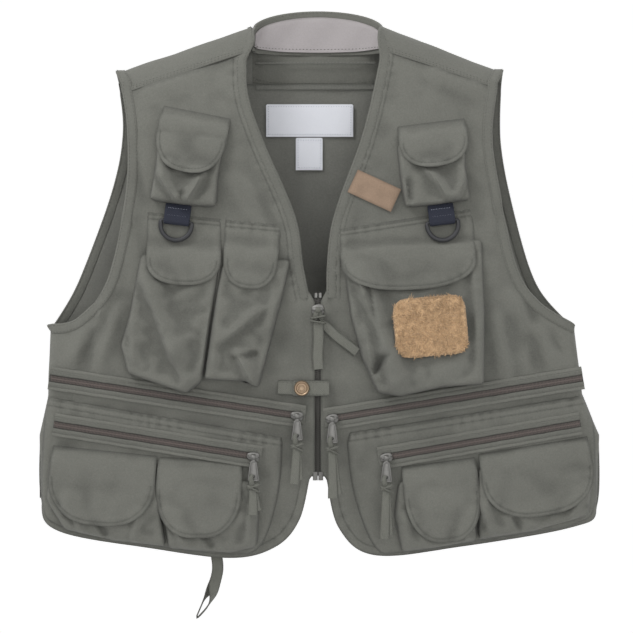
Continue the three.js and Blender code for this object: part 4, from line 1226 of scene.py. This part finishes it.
def make_zip(zip_):
    length = np.linalg.norm(zip_.end - zip_.start)
    s = np.linspace(-8 / length, 1 + 12 / length, 44)
    piece = Piece()
    piece.add(*sweep(zip_.at(s, 0, -0.8), oval(16.0, 1.2, 8, 0.4), -zip_.inward))
    teeth = np.arange(1.0, length + 11.0, 1.45) / length
    for side in (-1, 1):
        centre = zip_.at(teeth + side * 0.36 / length, side * 1.15, -0.3)
        tooth = np.array([(-0.45, -0.4, -2.0), (0.45, -0.4, -2.0), (0.45, -0.4, 2.0), (-0.45, -0.4, 2.0),
                          (-0.3, 0.65, -1.6), (0.3, 0.65, -1.6), (0.3, 0.65, 1.6), (-0.3, 0.65, 1.6)])
        add_teeth(piece, tooth @ np.array((zip_.along, -zip_.inward, zip_.across)), centre, TOOTH_FACES)
    piece.build(f"{zip_.name}_zip_coil", [TAPE, COIL], stands_for=[f"{zip_.name}_zip_tape"],
                slot="zip_tape")
    welt = Piece()
    for side in (-1, 1):
        wander = 0.35 * np.sin(s * 41 + 2 * side) + 0.2 * np.sin(s * 97)
        for across, wide, lift, tone in ((6.1, 4.6, 0.4, -0.1), (9.9, 4.2, -0.3, 0.14)):
            path = zip_.at(s, 0, lift) + zip_.across * (side * (across + 0.4 * wander))[:, None]
            welt.add(*sweep(path, oval(wide, 1.6, 10, 0.8), -zip_.inward), 0, tone)
        stitches(welt, zip_.at(s, side * 6.8, 1.15), -zip_.inward)
    path = zip_.at([-6 / length] * 2, 0, 0.5) + np.array([-7.5, 7.5])[:, None] * zip_.across
    welt.add(*sweep(resample(path, 2), oval(5.0, 1.6, 10, 0.7), -zip_.inward), 0)
    welt.build(f"{zip_.name}_zip_welts", [CLOTH, THREAD], slot="cloth")
    axes = (zip_.along, zip_.inward, zip_.across)
    slider = Piece()
    for verts, faces in slider_shape(13, 9):
        slider.add(placed(verts, zip_.seat, axes), faces)
    slider.build(f"{zip_.name}_slider_metal", [METAL], body=f"{zip_.name}_slider",
                 stands_for=[f"{zip_.name}_slider"], slot="metal")
    pin = zip_.seat - zip_.inward * 7.2
    pull = Piece()
    # Each part may also carry a material number and a painted shade, such as the hole's near-black disc.
    for verts, faces, *mat_and_painted_shade in pull_shape():
        pull.add(verts + pin, faces, *mat_and_painted_shade)
    pull.build(f"{zip_.name}_pull_metal", [METAL], body=f"{zip_.name}_pull",
               stands_for=[f"{zip_.name}_pull"], slot="metal")
    web = Piece()
    lean = {"right_upper": -1, "left_upper": 3, "right_cargo": 1.5, "left_cargo": 0}[zip_.name]
    # The webbing's parts carry painted shade on their edges and painted light on their faces.
    for verts, faces, *mat_and_painted_shade in knotted_webbing(zip_.webbing - 6, lean, 2.2):
        web.add(verts + pin, faces, *mat_and_painted_shade)
    obj = web.build(f"{zip_.name}_webbing_pull", [WEBBING], body=f"{zip_.name}_pull",
                    stands_for=[f"{zip_.name}_webbing"], slot="cloth")


def make_front_zip():
    run = np.arange(-165, 26, 4.0)
    depth = lambda z: cad_front(np.full(len(z), 6.0), z) + 0.6
    for side, name in ((-1, "right"), (1, "left")):
        piece = Piece()
        path = np.column_stack([np.full(len(run), side * 4.5), depth(run) + 0.7, run])
        piece.add(*sweep(path, oval(8.4, 1.2, 8, 0.4), (0, -1, 0)), 0)
        teeth = np.arange(-163, 23, 2.2) + (0.55 if side > 0 else -0.55)
        centre = np.column_stack([np.full(len(teeth), side * 1.1), depth(teeth) - 0.1, teeth])
        tooth = np.array([(-1.9, -0.9, -0.55), (1.9, -0.9, -0.55), (1.9, 0.9, -0.55), (-1.9, 0.9, -0.55),
                          (-1.7, -0.9, 0.5), (1.7, -0.9, 0.5), (1.7, 0.9, 0.5), (-1.7, 0.9, 0.5)])
        add_teeth(piece, tooth, centre, TOOTH_FACES + [(3, 2, 1, 0)])
        top = depth(np.array([25.0]))[0] - 0.4
        stop = np.array([(side * 2.2, top, 24), (side * 2.2, top, 29)])
        piece.add(*sweep(stop, oval(3.4, 2.6, 8, 0.7), (0, -1, 0)), 2)
        low = np.column_stack([np.full(2, side * 2.9), depth(np.array([-160.0, -169.0])) - 0.3,
                               (-160, -169)])
        piece.add(*sweep(low, oval(5.2, 3.0, 8, 0.6), (0, -1, 0)), 2)
        piece.build(f"{name}_front_zip_teeth", [TAPE, TAPE, METAL], stands_for=[f"{name}_front_zip_tape"],
                    slot="zip_tape")
    seat = np.array((0, cad_depth(0, 11) + 0.2, 11))
    slider = Piece()
    for verts, faces in slider_shape(13, 12):
        slider.add(verts + seat, faces)
    slider.build("front_slider_metal", [METAL], body="front_slider", stands_for=["front_slider"],
                 slot="metal")
    pin = seat + (0, -7.2, 0)
    web = Piece()
    web.add(*eye_ring(2.5, (1.3, 5.5)))
    for side in (-1, 1):
        leg = curve([(side * 1.0, 0.3 * side, -2), (side * 2.4, 0.6 * side, -5), (side * 3.4, 0, -10)], 1.0)
        web.add(*ribbon(leg, 5.5, 1.4, (0, 1, 0), 8))
    for level, tilt in ((-7.5, 1.2), (-12.5, -1.2)):
        web.add(*knot_turn((6.0, 2.5), (0, level), tilt, (2.0, 5.2), 24))
    tail = curve([(0, 0, -12), (0.6, -0.4, -30), (-0.3, 0.4, -48), (0.8, 0, -62)], 2.0)
    web.add(*ribbon(tail, 11, 1.5, (0, 1, 0.05), 12))
    second = curve([(1, 0.8, -13), (9, 1.6, -18), (20, 1.5, -28), (32, 1.2, -37), (41, 0.6, -44)], 2.0)
    web.add(*ribbon(second, 10, 1.4, (0.1, 1, 0.1), 12))
    web.verts = [v + pin for v in web.verts]
    obj = web.build("front_webbing_pull", [WEBBING], body="front_webbing", stands_for=["front_webbing"],
                    slot="cloth")


# ---- Snap, rings, patch and rod loop ----
def dome(radius, height, base, steps=28):
    """A turned cap about -Y with a rolled rim and a shallow dished middle."""
    profile = [(0, 0.7), (0.28, 0.72), (0.33, 0.5), (0.42, 0.5), (0.47, 0.78), (0.6, 0.8), (0.66, 0.62),
               (0.74, 0.95),
               (0.86, 1.0), (0.95, 0.7), (1.0, 0.25), (0.97, 0.0), (0.0, 0.0)]
    a = np.arange(steps) * 2 * math.pi / steps
    rings = [(radius * r * np.cos(a), np.full(steps, base - height * h), radius * r * np.sin(a)) for r,
             h in profile]
    verts = np.vstack([np.column_stack(ring) for ring in rings])
    faces = []
    for i in range(len(profile) - 1):
        for k in range(steps):
            b, c = i * steps + k, i * steps + (k + 1) % steps
            faces.append((c, b, b + steps, c + steps))
    return verts, faces


def make_snap():
    z = -71
    rear = cad_depth(0, z) - 2.8
    piece = Piece()
    path = curve([(-26, rear - 1.0, z), (-10, rear - 1.1, z), (4, rear - 1.2, z), (11.5, rear - 1.0, z)],
                 2.0)
    piece.add(*ribbon(path, 16.4, 1.9, (0, -1, 0), 16))
    for across in (-6.2, 6.2):
        stitches(piece, path + (0, -0.95, across), (0, -1, 0))
    obj = piece.build("snap_tab_cloth", [WEBBING, THREAD], body="snap_tab", stands_for=["snap_tab"],
                      slot="cloth")
    base = Piece()
    path = curve([(-42, rear + 1.4, z + 1), (-30, rear + 1.2, z + 0.5), (-24, rear + 1.3, z)], 2.0)
    base.add(*ribbon(path, 15.0, 1.6, (0, -1, 0), 16))
    stitches(base, path + (0, -0.9, 5.5), (0, -1, 0))
    obj = base.build("snap_tab_root", [WEBBING, THREAD], slot="cloth")
    cap = Piece()
    verts, faces = dome(8.3, 3.2, rear - 2.0)
    cap.add(verts + (-17, 0, z), faces)
    cap.build("snap_cap_brass", [BRASS], body="snap_tab", stands_for=["snap_cap"], slot="brass")
    stud = Piece()
    verts, faces = dome(5.0, 1.5, rear + 1.9)
    stud.add(verts + (-17, 0, z), faces)
    stud.build("snap_stud_brass", [BRASS], stands_for=["snap_stud"], slot="brass")


def make_rings():
    for name, x, tilt in (("right_ring", -148, -0.12), ("left_ring", 130, 0.12)):
        rear = cad_depth(x, 120) - 0.4
        origin = np.array((x, rear - 5, 104))
        c, s = math.cos(tilt), math.sin(tilt)
        axes = np.array([(c, 0, s), (0, 1, 0), (-s, 0, c)])
        tab = Piece()
        strip = curve([(0, 3.2, 17), (0, 3.2, 5), (0, 2.6, -1.5), (0, 0.2, -3.4), (0, -2.6, -1.5),
                       (0, -3.0, 3),
                       (0, -2.0, 10), (0, 0.6, 15.5), (0, 1.8, 17.5)], 1.2)
        path_up = np.cross(unit(np.gradient(strip, axis=0)), (1, 0, 0))
        verts, faces = sweep(strip, oval(27, 1.5, 16, 0.4), path_up)
        tab.add(placed(verts, origin, axes), faces)
        for depth, level in ((-3.1, 5.5), (-1.5, 13.0)):
            row = np.column_stack([np.linspace(-11, 11, 12), np.full(12, depth), np.full(12, level)])
            stitches(tab, placed(row, origin, axes), (0, -1, 0), length=1.4, gap=0.3, radius=0.6)
        obj = tab.build(f"{name}_tab_webbing", [NAVY, NAVY_THREAD], stands_for=[f"{name}_tab"],
                        slot="navy_webbing")
        a = np.linspace(math.pi, 2 * math.pi, 22)
        r = 16.3
        low = np.column_stack([r * np.cos(a), 0 * a, -4 + (r - 0.5) * np.sin(a)])
        ring = np.vstack([low, [(r, 0, -1.4), (r - 1.6, 0, 0), (0, 0, 0), (-r + 1.6, 0, 0), (-r, 0, -1.4)]])
        path = curve(ring, 1.6, closed=True)
        widths = np.where(path[:, 2] > -1.2, 3.0, 4.6)
        profile = np.array([oval(w, w, 12, 0.8) for w in widths])
        verts, faces = sweep(path, profile, (0, 1, 0), closed=True)
        ring_piece = Piece()
        ring_piece.add(placed(verts, origin, axes), faces)
        ring_piece.build(f"{name}_plastic", [BLACK], body=name, stands_for=[name], slot="black_plastic")


def make_patch():
    centre, tilt = (117, -6), 0.09
    w, h, corner = 38, 31, 14
    points = []
    for right, up, start in ((1, 1, 0), (-1, 1, 1), (-1, -1, 2), (1, -1, 3)):
        for i in range(5):
            a = (start + i / 4) * math.pi / 2
            points.append((right * (w - corner) + corner * math.cos(a),
                           up * (h - corner) + corner * math.sin(a)))
    ring = turned(points, centre, tilt)
    pocket = next(p for p in POCKETS if p["name"] == "left_chest")
    rear = cad_depth(117, 0) - 0.4 - pocket["depth"][1] - 0.6

    def surface(x, z):
        edge = distance(np.column_stack([x, z]), resample(ring, 3, True), True)[0]
        lumps = []
        for a, b in zip(x, z):
            cells = noise.voronoi((a / 5.5, b / 5.5, 2.0))[0]
            fine = noise.voronoi((a / 2.6, b / 2.6, 8.0))[0]
            lumps.append(1.6 * (1 - min(1, cells[0] * 1.3)) + 0.7 * (1 - min(1, fine[0] * 1.3)))
        return rear - rounded_edge(edge, 9.0) * (3.0 + np.array(lumps))

    piece = Piece()
    cloth(piece, ring, surface, spacing=1.15, thick=1.0, roll=0.0)
    rng = np.random.default_rng(11)
    spots = rng.uniform(-1, 1, (5200, 2)) * (w - 0.5, h - 0.5)
    spots = turned(spots, centre, tilt)
    spots = spots[inside(spots, ring)]
    y = surface(spots[:, 0], spots[:, 1])
    roots = np.column_stack([spots[:, 0], y + 0.3, spots[:, 1]])
    n = len(roots)
    lean = rng.normal(0, 1.0, (n, 3)) * (1.0, 0.35, 1.0)
    swirl = np.array([(noise.noise((p[0] / 7, p[2] / 7, 1.0)), 0, noise.noise((p[0] / 7, p[2] / 7, 5.0)))
                      for p in roots])
    mid = roots + (0, -1.3, 0) + lean * 0.6 + swirl * 2.5
    tip = mid + (0, -0.5, 0) + lean * 0.9 + swirl * 3.0
    side = unit(np.cross(tip - roots, (0.3, 1, 0.2))) * 0.28
    verts = np.stack([roots - side, roots + side, mid - side, mid + side, tip], axis=1).reshape(-1, 3)
    blade = ((0, 1, 3, 2), (2, 3, 4))
    faces = [tuple(5 * i + corner for corner in face) for i in range(n) for face in blade]
    tone = np.repeat(rng.uniform(-0.25, 0.45, n), 5)
    piece.add(verts, faces, 0, tone)
    obj = piece.build("fleece_pile", [FLEECE], stands_for=["fleece_patch"], slot="fleece")


def make_rod_loop():
    """A folded strap: its halves lie face to face under the hem, and turn edge-on to open at the fold."""
    line = curve([(-109, -246), (-107, -266), (-113, -288), (-121, -304), (-128, -315)], 2.2)
    share = np.linspace(0, 1, len(line))
    turn = smoothstep(share, 0.35, 0.85)[:, None]
    normal = offset(line, 1.0) - line
    across = np.column_stack([normal[:, 0], 0 * share, normal[:, 1]])
    ahead = np.array([(0.0, -1.0, 0.0)])
    apart = unit(ahead * (1 - turn) + across * turn)
    gap = (1.1 + 2.6 * np.sin(np.clip((share - 0.4) / 0.6, 0, 1) * math.pi))[:, None]
    centre = np.column_stack([line[:, 0], np.full(len(line), -3.0), line[:, 1]])
    loop = np.vstack([centre + apart * gap, [centre[-1] + (-1.0, 0, -2.0)], (centre - apart * gap)[::-1]])
    up = np.vstack([apart, [(0.4, 0, -0.9)], -apart[::-1]])
    piece = Piece()
    piece.add(*ribbon(loop, 12.0, 1.5, up))
    obj = piece.build("rod_loop_webbing", [WEBBING], stands_for=["rod_loop"], slot="cloth")


def make_bindings():
    """Armhole tape: up the front, over the end of the shoulder and down the back, in one run a side."""
    for name, fore, aft, side in (
        ("right", FRONT_ARMHOLE_R, BACK_ARMHOLE_R, -1),
        ("left", FRONT_ARMHOLE_L[::-1], BACK_ARMHOLE_L[::-1], 1),
    ):
        fore, aft = (line[line[:, 1] < 246] for line in (fore, aft))
        ahead, lift_ahead = on_surface(offset(fore, -5.0 * side), front, -1, -0.5)
        behind, lift_behind = on_surface(offset(aft, -5.0 * side), back, 1, -0.5)
        tip = side * TIP[0 if side < 0 else 1][0] - 4.5 * side
        low = -angle_down_to(ahead[0, 0], ahead[0, 2] + 6)
        high = angle_down_to(behind[0, 0], behind[0, 2] + 6)
        angle = np.linspace(low, high, 26)
        share = np.clip(np.abs(angle) / np.where(angle < 0, -low, high), 0, 1) ** 2
        x = tip + (np.where(angle < 0, ahead[0, 0], behind[0, 0]) - tip) * share
        y, z = shoulder_arc(x, angle)
        normal = unit(np.column_stack([0 * x, np.sin(angle) * 2.5, np.cos(angle)]))
        over = np.column_stack([x, y, z]) + normal * 1.8
        path = np.vstack([ahead[::-1], over, behind])
        out = np.vstack([lift_ahead[::-1], normal, lift_behind])
        binding(f"{name}_armhole_binding", [(path, unit(out))])


VIEW_WIDTH = 0.66465  # metres across the picture, at the target


def make_stage():
    scene = bpy.context.scene
    camera_data = bpy.data.cameras.new("camera")
    camera = bpy.data.objects.new("camera", camera_data)
    scene.collection.objects.link(camera)
    target = Vector((-0.0016, -0.07, -0.3202))
    away = 2.2
    camera.location = target + Vector((0, -away, 0))
    camera.rotation_euler = (math.pi / 2, 0, 0)
    camera_data.sensor_width = 36
    camera_data.lens = camera_data.sensor_width * away / VIEW_WIDTH
    scene.camera = camera
    scene.view_settings.view_transform = "Standard"
    scene.view_settings.exposure = -0.55
    world = bpy.data.worlds.new("studio")
    scene.world = world
    world.use_nodes = True
    world.node_tree.nodes["Background"].inputs["Color"].default_value = (1, 1, 1, 1)
    world.node_tree.nodes["Background"].inputs["Strength"].default_value = 1.48
    for name, spot, size, power in (
        ("key", (-1.1, -1.0, 1.2), 0.7, 30), ("fill", (0.5, -2.2, 0.1), 1.0, 14),
        ("rim", (0.4, 1.6, 0.9), 1.2, 10),
    ):
        light = bpy.data.lights.new(name, "AREA")
        light.size = size
        light.energy = power
        lamp = bpy.data.objects.new(name, light)
        lamp.location = spot
        lamp.rotation_euler = (Vector((0, 0, -0.32)) - Vector(spot)).to_track_quat("-Z", "Y").to_euler()
        scene.collection.objects.link(lamp)
    steps = 64
    a = np.arange(steps) * 2 * math.pi / steps
    mesh = bpy.data.meshes.new("floor")
    mesh.from_pydata([(0.62 * math.cos(t), 0.45 * math.sin(t), -0.76) for t in a], [],
                     [tuple(range(steps))])
    mesh.materials.append(FLOOR)
    floor = bpy.data.objects.new("floor", mesh)
    scene.collection.objects.link(floor)


make_stage()
make_fronts()
make_back()
make_yoke()
make_collar()
make_neck_binding()
make_hanger()
make_label()
make_tag()
make_cargo()
for pocket in POCKETS:
    make_bag(pocket)
    make_flap(pocket)
make_bindings()
for zip_ in UPPER_ZIPS + CARGO_ZIPS:
    make_zip(zip_)
make_front_zip()
make_snap()
make_rings()
make_patch()
make_rod_loop()
